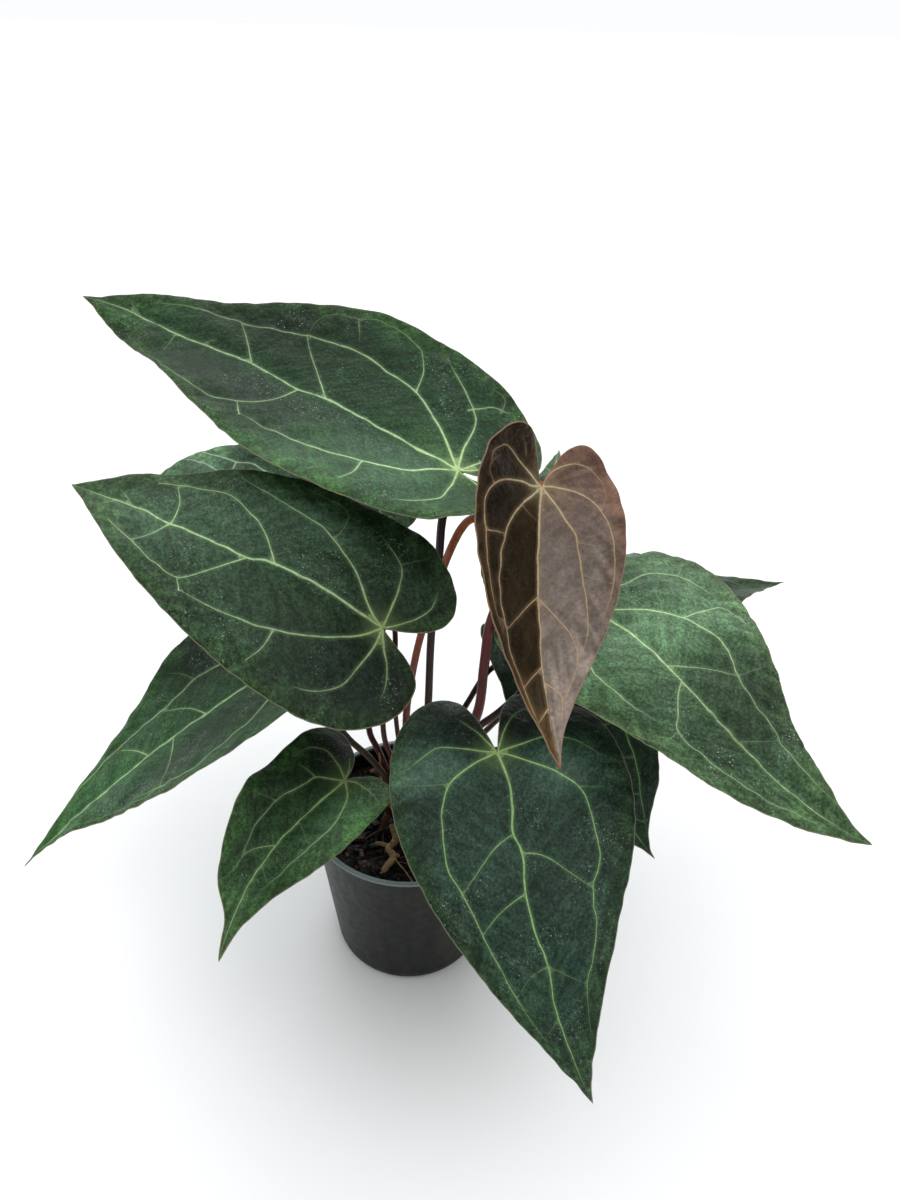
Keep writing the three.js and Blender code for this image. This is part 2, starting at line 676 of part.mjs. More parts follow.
function crownGeometry(extra) {
  const profile = [[0, CROWN_FOOT - extra]];
  const levels = 9;
  for (let i = 0; i <= levels; i += 1) {
    const share = i / levels;
    const scar = i % 2 === 0 ? 0 : SCAR_DEPTH;
    const radius = CROWN_RADIUS + (CROWN_TOP_RADIUS - CROWN_RADIUS) * share ** 2 - scar + extra;
    profile.push([radius, CROWN_FOOT - extra + (CROWN_TOP - CROWN_FOOT + 1.4 * extra) * share]);
  }
  profile.push([0, CROWN_TOP + 1.5 + extra]);
  return revolve(profile, CROWN_SIDES);
}

// Assembly

const plant = new THREE.Group();
const crownClearance = toSolid(crownGeometry(FIT_GAP + 0.1));

plant.add(finish('pot', potGeometry(), 0x343734, 0.45));
plant.add(finish('potting_mix', mixGeometry(crownClearance), 0x1d1612, 0.95));
plant.add(finish('crown', crownGeometry(0), 0x6a4a38, 0.8));
LEAVES.forEach((leaf) => {
  const blade = bladeGeometry(leaf, BLADE_THICKNESS);
  const clearance = toSolid(bladeGeometry(leaf, BLADE_THICKNESS + 2 * FIT_GAP));
  const stalk = toSolid(stalkGeometry(leaf)).subtract(clearance).subtract(crownClearance);
  plant.add(finish(`leaf_${leaf.name}`, blade, leaf.colour, 0.55));
  plant.add(finish(`petiole_${leaf.name}`, toGeometry(largestBody(stalk)), leaf.stalkColour, 0.5));
});

export default plant;
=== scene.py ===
"""Looks of the potted anthurium hybrid: fine leaves with their veins, stalks, crown, bark mix and pot."""

import functools
import itertools
import math

import bmesh
import bpy
import numpy as np
from mathutils import Matrix, Vector, noise
from mathutils.geometry import delaunay_2d_cdt


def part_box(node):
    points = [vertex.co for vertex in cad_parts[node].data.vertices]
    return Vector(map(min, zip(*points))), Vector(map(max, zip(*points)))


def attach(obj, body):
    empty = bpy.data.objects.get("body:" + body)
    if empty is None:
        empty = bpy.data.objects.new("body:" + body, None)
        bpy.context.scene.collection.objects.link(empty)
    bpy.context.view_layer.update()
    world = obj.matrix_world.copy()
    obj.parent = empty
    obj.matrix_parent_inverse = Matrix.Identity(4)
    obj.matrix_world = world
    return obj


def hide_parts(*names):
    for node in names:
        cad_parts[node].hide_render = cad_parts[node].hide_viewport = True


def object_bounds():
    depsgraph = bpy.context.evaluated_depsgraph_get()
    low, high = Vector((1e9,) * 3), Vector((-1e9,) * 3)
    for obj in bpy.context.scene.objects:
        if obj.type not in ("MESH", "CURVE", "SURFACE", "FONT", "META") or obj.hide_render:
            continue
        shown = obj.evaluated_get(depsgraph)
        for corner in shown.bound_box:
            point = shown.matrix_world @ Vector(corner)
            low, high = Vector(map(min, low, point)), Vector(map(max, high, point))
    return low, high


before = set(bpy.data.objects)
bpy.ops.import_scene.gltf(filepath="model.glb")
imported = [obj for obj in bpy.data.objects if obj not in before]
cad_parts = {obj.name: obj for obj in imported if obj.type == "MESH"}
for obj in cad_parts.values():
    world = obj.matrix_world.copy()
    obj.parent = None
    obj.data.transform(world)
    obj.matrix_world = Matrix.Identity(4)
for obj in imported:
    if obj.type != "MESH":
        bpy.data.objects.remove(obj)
cad_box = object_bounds()

MM = 0.001
BODY = "root"

# Pot and bark mix, in millimetres, as in the frame

POT_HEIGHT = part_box("pot")[1].z / MM
POT_RIM_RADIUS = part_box("pot")[1].x / MM
POT_NECK_RADIUS = POT_RIM_RADIUS - 1.4
POT_HEEL_RADIUS = 39.0
POT_FOOT_RADIUS = 34.0
POT_WALL = 0.9
POT_FLOOR = 1.5
RIM_DEPTH = 1.7
POT_SIDES = 160
DRAIN_HOLES = 5
DRAIN_RADIUS = 4.0
DRAIN_CIRCLE = 23.0
DRAIN_SIDES = 28
MIX_LEVEL = 77.0
CROWN_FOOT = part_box("crown")[0].z / MM
CROWN_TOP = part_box("crown")[1].z / MM
CROWN_RADIUS = 9.0
CROWN_TOP_RADIUS = 6.0
CROWN_LEVELS = 30
CROWN_SCARS = 5
CROWN_ROOTS = 9

# Chips of bark and white grains in the mix, and short fibres on it
CHIP_COUNT = 640
LARGE_CHIPS = 260
WHITE_SHARE = 0.04
WHITE_TONE = 0.97
CHIP_TONES = (0.1, 0.1, 0.1, 0.3, 0.3, 0.3, 0.5, 0.5, 0.65, 0.65, 0.8)
FIBRE_COUNT = 46
FIBRE_TONES = (0.5, 0.65, 0.8)

# Roots and a fibre that lie on the mix: points, thickness and tone
SURFACE_ROOTS = [
    ([(-8, -10, 84), (-6, -17, 81), (-9, -22, 80.5), (-6, -27, 80.5), (-9, -32, 80), (-11, -34, 77)],
     1.7, 0.9),
    ([(-16, -18, 79), (-13, -19, 80.5), (-9, -20, 80)], 1.0, 0.9),
    ([(-7, -25, 81), (-4, -31, 81.5), (0, -36, 81), (4, -41, 79)], 0.35, 0.9),
]

# Blades

BLADE_THICKNESS = 0.8
MARGIN_THICKNESS = 0.4
SINUS_CORNER = 0.42
ROUND = 0.55
CREASE = 1.5                 # the fold at the midrib is rounded over this width
FINE_STEP = 1.7              # spacing of a blade's own vertices
LINE_STEP = 1.5              # spacing of vertices along margins and veins
NIBBLE = 0.3                 # how far margins stray inward
INSIDE = 0.05                # tips keep this far inside the frame's whole box
QUILT_DEPTH = 0.9            # the blade swells this much between its veins
QUILT_WIDTH = 9.0
DRIP_TIP = 30.0              # a pinched tip narrows over this length
CRIMP_WIDTH = 3.6            # spacing of the small folds at the margin
CRIMP_LENGTH = 12.0
RIPPLE_DEPTH = 1.1
RIPPLE_SIZE = 9
SWELL_DEPTH = 0.6            # broad unevenness
SWELL_SIZE = 13
RIDGE_SIZE = 7
CALM_EDGE = 6                # near the margin, swell and ridges fade over this width
THIN_EDGE = 4                # and the blade thins over this one
VEIN_RISE = 0.14             # veins stand up this much, in millimetres
VEIN_KEEL = 0.55             # and below by this share of half their width
RIM_ROUND = 0.18
RIM_GAP = -0.2               # edge_gap on the rim itself
UV_SPAN = 400.0              # millimetres to one unit of the flat blade map

# Width of each kind of vein in a blade of usual length, and its strength, each at the start and at the end
USUAL_LENGTH = 170
VEIN_KINDS = {
    "midrib": ((1.35, 0.4), (1.0, 0.75)), "basal": ((1.0, 0.4), (0.95, 0.5)),
    "lateral": ((0.65, 0.35), (0.8, 0.45)), "fine": ((0.4, 0.22), (0.35, 0.15)),
}

VEIN_STRAY = 0.5             # how far veins wander from their smooth course
VEIN_WIDENING = 0.95         # unless the leaf's looks say otherwise, and the two depths below alike
RIDGE_DEPTH = 0.6
CRIMP_DEPTH = 0.15

# Stalks

STALK_SIDES = 14
STALK_STEP = 2.5
SHEATH_SWELL = 1.35
SHEATH_LENGTH = 16.0
KNEE_SWELL = 1.3
KNEE_LENGTH = 8.0
SEAT_DEPTH = 0.3             # the fine stalk grows into the blade's underside

# Camera, as solved from the photograph

CAMERA_PLACE = (0.018, -0.320, 0.420)
CAMERA_PITCH = 33.2
CAMERA_ROLL = 1.3
FOCAL_PIXELS = 900
IMAGE_HEIGHT = 1200

FLOOR_REACH = 30000

# Soft lamps: name, strength, spread in degrees, direction they stand in
LAMPS = [
    ("overhead", 1.8, 100, (0, 0, 1)),
    ("behind", 0.7, 60, (0, 1, 0.75)),
    ("right", 0.9, 50, (0.42, -0.4, 0.8)),
]

# Leaves. SHAPES has where the stalk meets each blade, its pose in degrees, its outline in
# millimetres or in shares of its length or width, and its bends, as the frame's blades have them.

SHAPE_KEYS = (
    "at", "heading", "pitch", "roll", "length", "left", "right", "widest", "lobe", "lobe_mid", "sinus",
    "tip_angle", "taper", "shoulder", "droop", "sway", "snake", "twist", "lobe_bend", "fold", "curl",
    "waves",
)
SHAPES = {
    "top": (
        (20, 21, 261), 157, 20, 1, 192, 57, 60, 0.19, 31, 0.29, 14, 21, 0.46, 0.25, -11, 4, -6, -22, 32,
        (9, 12), (-13, 14), ((-4, 0.5, 0.5, 0, 1, -1, 0), (2, -1.5, 0, 1, -1, 0.5, -0.5)),
    ),
    "left": (
        (-8, -34, 219), 166, 30, -13, 146, 48, 44, 0.08, 23, 0.44, 23, 24, 0.29, 0.42, -34, 6, -16, -9, 16,
        (-2, 17), (-26, -4), ((-0.5, 0, 1.5, 0.5, -0.5, -0.5, 0.5), (1, -1, 1.5, 0.5, -1, 0.5, -1)),
    ),
    "bronze": (
        (48, -44, 286), -95, -35, -28, 94, 31, 31, 0.14, 19, 0.43, 23, 17, 0.24, 0.41, 0, 4, 17, 9, 24,
        (20, 28), (-19, -12), ((-0.5, 0.5, 0, 0, 1, 0, -1), (-1, 0, 1, 0.5, -0.5, -0.5, -0.5)),
    ),
    "right": (
        (78, 6, 203), -42, 6, 9, 142, 54, 46, 0.08, 33, 0.42, 14, 21, 0.37, 0.19, -33, -62, 67, 17, -22,
        (5, 5), (-12, -17), ((2.5, -1.5, 0, 0, 1, -1, 0), (1, 0, 1, -0.5, -0.5, 0, 0)),
    ),
    "front": (
        (39, -42, 163), -77, -23, 4, 141, 53, 47, 0.11, 32, 0.35, 14, 15, 0.28, 0.29, -42, -1, 17, 12, -32,
        (-1, 4), (-7, -11), ((1.5, 0, -1, 0.5, 0, 0.5, -1), (-1, 0.5, 0, 0, -0.5, 0, 0.5)),
    ),
    "small": (
        (-28, -22, 125), -132, -4, -7, 90, 25, 31, 0.11, 17, 0.66, 12, 21, 0.33, 0.44, -25, 2, 32, -6, -33,
        (0, 13), (-6, 5), ((-2, 0.5, -0.5, -1, -0.5, 1.5, -0.5), (1.5, -1, -1, 2.5, -3, 2, 0)),
    ),
    "lower_left": (
        (-54, 29, 159), -155, -22, 4, 173, 58, 57, 0.13, 36, 0.5, 14, 10, 0.39, 0.34, -22, -5, -3, -5, 0,
        (7, 3), (19, 15), ((2, -1, -0.5, -0.5, -0.5, 0.5, 0), (1.5, 0, -2, 1.5, -1, 0, 0)),
    ),
    "rear_left": (
        (-43, 92, 189), 160, 6, -24, 164, 49, 46, 0.14, 38, 0.5, 14, 16, 0.29, 0.51, -34, 0, 3, -11, 0,
        (8, 20), (-10, -11), ((0, 0.5, 0, -0.5, 0, 0.5, 0), (1, 2, 0, -1, 0, 0, 0)),
    ),
    "lower_right": (
        (63, 36, 148), -51, -39, 13, 118, 40, 34, 0.19, 31, 0.53, 14, 9, 0.31, 0.56, -30, 8, 13, 1, -8,
        (23, 25), (-2, 10), ((1, 1, -2, 2, -2, 2, -1), (-0.5, 1.5, -2, 2, -2, 1.5, -1)),
    ),
    "rear_right": (
        (105, 100, 146), 19, -2, -5, 128, 39, 39, 0.11, 33, 0.5, 14, 12, 0.36, 0.41, -9, 4, 7, -2, 0,
        (8, 11), (-12, -9), ((0.5, -1, 1, -0.5, 1, -1, 0.5), (-0.5, 1, -1, 1, -0.5, 1, -0.5)),
    ),
    "rear": (
        (57, 0, 232), 85, 5, -30, 108, 29, 29, 0.13, 26, 0.49, 14, 9, 0.35, 0.41, -10, -1, 0, -6, 2,
        (13, 20), (4, -2), ((0.5, -1, 1, -1, 1, -0.5, 0.5), (-0.5, 1, -1, 0.5, -1, 1, -0.5)),
    ),
    "rear_inner": (
        (-14, 36, 193), 97, 13, -24, 62, 21, 22, 0.12, 16, 0.5, 14, 9, 0.36, 0.42, -9, -1, 1, -3, 0,
        (11, 15), (-11, -9), ((0.5, -0.5, 1, -0.5, 0.5, -0.5, 0), (-0.5, 0.5, -1, 0.5, -0.5, 0.5, 0)),
    ),
}

# Stalks: radius in millimetres, colour low and high, and the points that it runs through
STALKS = {
    "top": (
        1.8, (58, 26, 24), (40, 24, 22),
        [(5, 3, 99), (8, 4, 125), (9, 6, 151), (10, 9, 187), (13, 12, 226), (14, 15, 241)],
    ),
    "left": (1.1, (74, 27, 20), (60, 24, 20), [(-3, -7, 95), (-4, -7, 131), (-5, -9, 148), (-6, -16, 175)]),
    "bronze": (
        1.7, (102, 42, 26), (150, 82, 48),
        [(-1, -2, 104), (-1, -1, 125), (-1, 0, 147), (2, 0, 172), (6, 1, 193), (11, 2, 210),
         (16, 2, 229), (22, -3, 247), (26, -8, 254), (32, -15, 257), (37, -24, 261), (42, -34, 270)],
    ),
    "right": (
        1.7, (48, 22, 22), (52, 28, 26),
        [(7, -7, 92), (14, -7, 112), (23, -6, 134), (33, -6, 146), (41, -7, 155), (52, -5, 167),
         (66, 1, 183)],
    ),
    "front": (1.8, (76, 28, 20), (54, 30, 22), [(3, -9, 87), (16, -18, 116)]),
    "small": (1.4, (80, 40, 26), (66, 52, 32), [(-8, -5, 87), (-17, -13, 105)]),
    "lower_left": (
        1.6, (60, 40, 28), (58, 50, 32),
        [(-9, 2, 87), (-12, 1, 106), (-20, 5, 115), (-30, 9, 123), (-43, 18, 137)],
    ),
    "rear_left": (
        1.6, (78, 30, 26), (52, 26, 24),
        [(-6, 8, 87), (-11, 7, 104), (-16, 10, 116), (-20, 14, 123), (-22, 45, 142), (-26, 76, 158),
         (-38, 95, 168)],
    ),
    "lower_right": (
        1.5, (50, 22, 22), (38, 22, 20),
        [(4, 9, 87), (16, 12, 118), (27, 18, 138), (38, 29, 151), (51, 38, 153)],
    ),
    "rear_right": (
        1.5, (88, 66, 42), (84, 80, 48),
        [(8, 5, 86), (20, 9, 107), (36, 15, 123), (60, 43, 130), (90, 84, 134)],
    ),
    "rear": (
        2.3, (104, 40, 32), (96, 38, 34),
        [(9, -1, 88), (20, 1, 112), (32, 2, 147), (34, 3, 173), (36, 4, 197), (42, 3, 213), (54, 1, 222)],
    ),
    "rear_inner": (
        1.4, (82, 32, 28), (64, 28, 26),
        [(-1, 8, 92), (-9, 3, 118), (-12, 5, 128), (-12, 9, 148), (-7, 20, 172)],
    ),
}

# Looks: tones of a blade's middle and edge, colour of its veins, how speckled it is, and
# light_and_shade_zones: soft patches of painted light and shade, each as place along and across, reach along
# and across, and strength
VEIN_GREEN = (164, 198, 144)
STAR_GREEN = (186, 212, 138)
# Each leaf's middle, edge and vein tones are set lighter or darker by how lit that leaf is, so besides its
# own colour they hold painted light and shade.
LOOKS = {
    "top": dict(
        middle=(30, 59, 33), edge=(40, 72, 31), vein=VEIN_GREEN, specks=0.8,
        light_and_shade_zones=[
            (23, 30, 60, 34, 0.88), (107, -30, 60, 34, -0.78), (105, 18, 60, 22, -0.7),
            (59, 54, 42, 22, 0.78), (11, 0, 28, 34, 0.53),
        ],
    ),
    "left": dict(
        middle=(43, 65, 45), edge=(47, 70, 41), vein=VEIN_GREEN, specks=0.7,
        light_and_shade_zones=[
            (-5, 22, 60, 34, -1.05), (75, -10, 60, 34, 0.6), (1, -2, 18, 22, -1), (40, -26, 36, 14, 0.92),
            (120, 8, 50, 34, 0.6),
        ],
    ),
    "bronze": dict(
        # other is the painted sheen of the half that faces the light; warm is the warmer tone of that half
        # near its margin and base.
        middle=(34, 24, 9), edge=(54, 39, 20), vein=(176, 150, 116), specks=0.1, other=(106, 95, 87),
        warm=(108, 82, 69),
        light_and_shade_zones=[
            (47, -7, 60, 14, 0.2), (85, -7, 28, 22, 0.9), (-16, 5, 30, 14, -0.2), (-6, -24, 34, 18, -0.8),
            (60, 12, 50, 24, 0.35),
        ],
    ),
    "right": dict(
        middle=(63, 91, 62), edge=(70, 97, 62), vein=(170, 202, 148), specks=0.8, ridges=1.1, crimp=0.6,
        vein_width=0.85,
        light_and_shade_zones=[
            (27, 8, 28, 34, 0.95), (81, 14, 42, 34, -0.85), (9, -28, 60, 34, 0.95), (33, 38, 42, 22, 0.6),
            (75, -16, 28, 22, -0.3),
        ],
    ),
    "front": dict(
        middle=(40, 61, 49), edge=(43, 65, 43), vein=(144, 184, 118), specks=0.65, vein_width=0.8,
        light_and_shade_zones=[
            (-20, 1, 28, 34, -2.2), (2, -32, 20, 34, 1.35), (12, 26, 24, 30, 0.95), (34, -14, 40, 18, 0.25),
            (-14, 43, 18, 22, -1.3),
        ],
    ),
    "small": dict(
        middle=(39, 63, 37), edge=(51, 81, 42), vein=(140, 174, 122), specks=0.4,
        light_and_shade_zones=[
            (-17, -13, 42, 22, -2.3), (9, 17, 50, 22, 1.3), (-5, -1, 24, 14, -1.1),
            (-11, -25, 18, 14, -0.75), (74, 0, 30, 18, 0.3),
        ],
    ),
    "lower_left": dict(
        middle=(42, 76, 44), edge=(37, 77, 27), vein=VEIN_GREEN, specks=0.95,
        light_and_shade_zones=[
            (42, -39, 42, 34, -1.4), (46, 21, 60, 22, -0.82), (110, -3, 60, 34, 0.35),
            (138, -3, 28, 14, 0.3),
        ],
    ),
    "rear_left": dict(
        middle=(53, 80, 57), edge=(64, 93, 61), vein=(190, 214, 180), specks=0.9,
        light_and_shade_zones=[(64, -34, 28, 14, -1.1), (88, -32, 60, 36, 1.05)],
    ),
    "lower_right": dict(middle=(20, 39, 23), edge=(18, 38, 21), vein=(112, 158, 96), specks=0.3),
    "rear_right": dict(middle=(27, 43, 28), edge=(31, 54, 27), vein=(50, 76, 46), specks=0.1),
    "rear": dict(middle=(29, 55, 33), edge=(34, 70, 31), vein=VEIN_GREEN, specks=0.5),
    "rear_inner": dict(middle=(46, 78, 48), edge=(54, 92, 46), vein=VEIN_GREEN, specks=0.5),
}

# Veins: points along and across each blade in millimetres, from the stalk, left of the midrib positive
VEINS = {
    "top": {
        "basal": [

            [(11, -11), (22, -20), (36, -28), (51, -30), (66, -32), (90, -28), (112, -21), (140, -15),
             (158, -9)],
            [(4, -13), (7, -30), (16, -40), (25, -47), (34, -53)],
            [(7, 12), (16, 24), (30, 31), (50, 36), (69, 37), (86, 34)],
            [(-2, 8), (-4, 19), (-4, 30), (2, 39), (10, 46)],
            [(-6, -12), (-12, -24), (-13, -36), (-6, -45)], [(-9, -8), (-18, -14), (-24, -20)],
            [(-9, 4), (-17, 11), (-20, 22)],
        ],
        "lateral": [
            [(36, -28), (39, -40), (45, -49)], [(65, -1), (84, -20), (91, -28)],
            [(102, -1), (111, -11), (119, -19)],
            [(77, 1.5), (79, 14), (85, 25), (99, 31), (113, 29), (124, 26)], [(30, 31), (29, 41), (31, 48)],
            [(13, -34), (6, -42), (-3, -45)], [(84, 35), (89, 29)],
        ],
        "fine": [
            [(45, -49), (56, -52), (68, -51), (76, -47), (85, -44), (91, -37), (90, -28)],
            [(76, -47), (69, -36)], [(140, 0.5), (138, 14)], [(127, 0), (122, -5)],
            [(1, -42), (3, -50), (10, -51)], [(124, 26), (139, 20), (152, 12)], [(158, 0), (168, -5)],
        ],
        "midrib": [(36, 0), (65, -1), (77, 1.5), (102, -1), (140, 0.5), (171, -1.5), (190, 0)],
    },
    "left": {
        "basal": [
            [(9, -5), (18, -13), (26, -18), (41, -24), (59, -26), (78, -28)],
            [(1, -8), (3, -19), (7, -27), (19, -34)], [(-8, -9), (-13, -18), (-12, -26)],
            [(7, 9), (18, 17), (35, 24), (55, 27), (74, 26)],
            [(-1, 9), (0, 19), (2, 30), (10, 37), (17, 39)], [(-4, 7), (-9, 14), (-12, 21), (-13, 28)],
        ],
        "lateral": [
            [(35, 24), (35, 32), (38, 39)],
            [(48, -1), (58, -11), (66, -16), (78, -20), (91, -18), (108, -13)],
            [(59, 1.5), (65, 9), (71, 16), (78, 21), (90, 19), (103, 14), (118, 9)],
            [(94, 1), (98, 9), (103, 14)], [(94, 1), (95, -8), (100, -15)], [(74, 26), (78, 21)],
        ],
        "fine": [
            [(34, -22), (33, -29), (36, -36), (52, -36)], [(7, -27), (4, -31), (-1, -37)],
            [(112, 0), (122, -5)], [(120, 0), (127, 4)],
        ],
        "midrib": [(25, -1.5), (50, -1.5), (59, 1.5), (73, 1), (94, 1), (111, 0), (144, 0)],
    },
    "bronze": {
        "basal": [
            [(5, -4), (10, -9), (19, -15), (32, -19), (46, -18), (60, -14), (70, -9), (86, -3)],
            [(2, -6), (3, -11), (6, -19), (10, -24), (16, -27), (26, -26), (42, -23), (55, -18)],
            [(-2, -7), (-7, -19), (-6, -22), (-1, -26), (5, -27)],
            [(5, 5), (11, 9), (18, 13), (31, 15), (45, 16), (54, 15), (62, 12)],
            [(-1, 7), (1, 16), (6, 22), (17, 26), (32, 26), (48, 21)],
            [(-6, 3), (-11, 10), (-11, 16), (-7, 21), (-2, 23)],
        ],
        "lateral": [
            [(40, 0), (47, -8), (54, -16)], [(63, 0), (70, -9)], [(26, -26), (24, -17)],
            [(40, 0), (47, 6), (55, 11), (64, 11), (74, 6)], [(68, 0), (73, 5), (80, 4)],
            [(76, 0), (80, -5)],
        ],
        "fine": [
            [(31, 15), (33, 26)], [(19, 13), (20, 25)], [(-2, 23), (4, 22)],
            [(10, -24), (5, -27), (-2, -22)], [(-11, 10), (-15, 15)], [(-8, -10), (-15, -14)],
            [(11, -10), (14, -1)], [(54, 11), (53, 16)], [(54, -16), (50, -20)],
        ],
    },
    "right": {
        "basal": [
            [(10, 7), (20, 16), (31, 22), (40, 24), (50, 25), (65, 19), (85, 15), (101, 10), (126, 6)],
            [(1, 10), (3, 22), (6, 33), (15, 40), (30, 41)],
            [(10, -13), (22, -22), (34, -26), (53, -24), (65, -20)], [(-6, 12), (-15, 22), (-18, 34)],
            [(-4, -12), (-6, -26), (4, -38)], [(-14, -10), (-24, -20), (-22, -32)],
        ],
        "lateral": [
            [(45, 0), (57, 14), (63, 19)], [(31, 22), (32, 31), (36, 39), (46, 40)],
            [(54, 0), (59, -6), (66, -12), (71, -16), (83, -15), (102, -10), (122, -4)],
        ],
        "fine": [
            [(85, 0), (94, 12)], [(63, 19), (66, 32)], [(15, 40), (12, 48)],
            [(41, -41), (51, -36), (64, -31), (73, -25), (86, -22)], [(71, -16), (73, -25)],
        ],
    },
    "front": {
        "basal": [

            [(1, -4), (3, -10), (9, -21), (15, -25), (25, -28), (42, -29), (53, -25), (68, -21),
             (94, -14), (112, -8)],
            [(-2, -7), (-4, -14), (-6, -24), (-3, -31), (1, -38)],
            [(2, 5), (7, 14), (12, 22), (20, 30), (30, 32), (50, 31), (61, 25), (74, 23), (86, 18),
             (95, 13), (112, 9)],
            [(-2, 9), (-4, 22), (-1, 33), (9, 45)], [(-9, 5), (-18, 12), (-22, 22)],
            [(-10, -6), (-19, -14)],
        ],
        "lateral": [
            [(34, -1), (38, -9), (44, -16), (53, -26)], [(42, 1), (44, 8), (50, 15), (62, 26)],
            [(57, -1), (61, -11), (68, -21)],
        ],
        "fine": [
            [(10, -22), (9, -32), (7, -43)], [(20, 30), (22, 43)], [(104, -1), (110, -7)],
            [(85, 0.5), (90, 7), (95, 13)], [(85, 0.5), (87, -7), (93, -14)],
        ],
        "midrib": [(13, 2), (24, 1), (34, -1), (42, 1), (57, -1), (72, -1), (85, 0.5), (102, -1), (138, 0)],
    },
    "small": {
        "basal": [
            [(5, -6), (9, -10), (16, -11), (28, -14), (41, -13), (47, -11), (58, -8)],
            [(-2, -5), (-3, -10), (-3, -17), (2, -23), (9, -25)],
            [(2, 3), (5, 7), (10, 10), (20, 13), (28, 13), (38, 12), (52, 9), (62, 5)],
            [(-3, 5), (-4, 12), (-3, 20)], [(-6, -4), (-10, -9)],
        ],
        "lateral": [[(42, 0), (51, -8), (60, -9)], [(9, -10), (10, -20)]],
        "fine": [
            [(28, 0), (34, 12)], [(52, 0), (58, 7)], [(28, -14), (32, -24)], [(-3, 8), (3, 14), (6, 20)],
            [(-4, 12), (1, 18), (3, 24)], [(-4, 14), (-9, 19)], [(-3, 17), (-1, 24)], [(-4, 10), (-10, 14)],
        ],
    },
    "lower_left": {
        "basal": [
            [(10, -14), (24, -23), (37, -25), (53, -27), (74, -22), (96, -20), (127, -13), (146, -7)],
            [(8, 13), (22, 26), (38, 37), (57, 41), (76, 36), (96, 26)], [(0, -20), (6, -36), (20, -48)],
            [(-2, 22), (4, 38), (18, 50)], [(-12, -10), (-24, -20), (-26, -32)],
            [(-12, 10), (-24, 20), (-26, 32)],
        ],
        "lateral": [
            [(53, 0), (61, -12), (73, -20)], [(72, 0), (74, 13), (79, 34)], [(87, 0), (93, -9), (101, -16)],
        ],
        "fine": [[(53, -27), (58, -35), (66, -42)], [(76, 36), (88, 33), (104, 24), (120, 16), (134, 8)]],
    },
    "rear_left": {
        "basal": [
            [(12, -10), (30, -20), (53, -26), (61, -29), (72, -29), (90, -32), (104, -34)],
            [(12, 10), (32, 22), (60, 28), (92, 24), (122, 12)], [(0, -18), (8, -32), (26, -42)],
            [(0, 18), (8, 32), (26, 42)], [(-14, -8), (-25, -20)], [(-14, 8), (-25, 20)],
        ],
        "lateral": [
            [(48, 0), (66, -16), (84, -23), (98, -27), (112, -28)], [(72, -29), (72, -20)],
            [(52, 0), (72, 26)], [(84, 0), (104, -14), (124, -18)], [(88, 0), (106, 18)],
        ],
        "fine": [[(118, 0), (130, -8)], [(122, 0), (134, 8)]],
    },
}

# How far the margin is drawn in near the tip, left and right
PINCHES = {"small": (1.0, 3.2)}


def leaf_values(name):
    """One leaf's values, from all the tables."""
    leaf = dict(zip(SHAPE_KEYS, SHAPES[name]), name=name, looks=LOOKS[name], veins=VEINS.get(name))
    leaf["pinch"] = PINCHES.get(name, (0, 0))
    leaf["radius"], leaf["stalk_low"], leaf["stalk_high"], leaf["route"] = STALKS[name]
    return leaf


# Curves

def bezier(p0, p1, p2, p3, steps):
    t = np.linspace(0, 1, steps + 1)[:, None]
    weights = ((1 - t) ** 3, 3 * t * (1 - t) ** 2, 3 * t * t * (1 - t), t ** 3)
    return sum(w * np.array(p, float) for w, p in zip(weights, (p0, p1, p2, p3)))


def hermite(a, b, slope_a, slope_b, f):
    """Cubic from a to b with the given slopes, at shares f of the way."""
    square, cube = 3 * (b - a) - 2 * slope_a - slope_b, 2 * (a - b) + slope_a + slope_b
    return a + slope_a * f + square * f ** 2 + cube * f ** 3


def uniform_spline(values, share):
    """Catmull-Rom spline through evenly spaced values, read at shares from 0 to 1."""
    values = np.array(values, float)
    last = len(values) - 1
    x = np.clip(share, 0, 1) * last
    i = np.minimum(x.astype(int), last - 1)
    f = x - i
    if values.ndim > 1:
        f = f[:, None]
    a, b, c, d = (values[np.clip(i + k, 0, last)] for k in (-1, 0, 1, 2))
    slope_b, slope_c = (c - a) / 2, (d - b) / 2
    return hermite(b, c, slope_b, slope_c, f)


def lengths_along(points):
    steps = np.linalg.norm(np.diff(points, axis=0), axis=1)
    return np.concatenate([[0.0], np.cumsum(steps)])


def evenly(points, step):
    """The same line with points about one step apart."""
    along = lengths_along(points)
    count = max(2, int(round(along[-1] / step)) + 1)
    places = np.linspace(0, along[-1], count)
    return np.stack([np.interp(places, along, points[:, k]) for k in range(points.shape[1])], axis=1)


def centripetal_curve(points, per_span):
    """Centripetal Catmull-Rom curve through points, the way the frame's stalks run."""
    points = np.array(points, float)
    before = 2 * points[0] - points[1]
    after = 2 * points[-1] - points[-2]
    guide = np.vstack([before, points, after])
    f = np.linspace(0, 1, per_span, endpoint=False)[:, None]
    curve = []
    for k in range(len(points) - 1):
        p0, p1, p2, p3 = guide[k:k + 4]
        d0, d1, d2 = (np.sqrt(np.linalg.norm(b - a)) for a, b in ((p0, p1), (p1, p2), (p2, p3)))
        start = ((p1 - p0) / d0 - (p2 - p0) / (d0 + d1) + (p2 - p1) / d1) * d1
        end = ((p2 - p1) / d1 - (p3 - p1) / (d1 + d2) + (p3 - p2) / d2) * d1
        curve.append(hermite(p1, p2, start, end, f))
    curve.append(points[-1:])
    return np.vstack(curve)


def unit_tangents(line):
    tangent = np.gradient(line, axis=0)
    return tangent / np.linalg.norm(tangent, axis=1)[:, None]


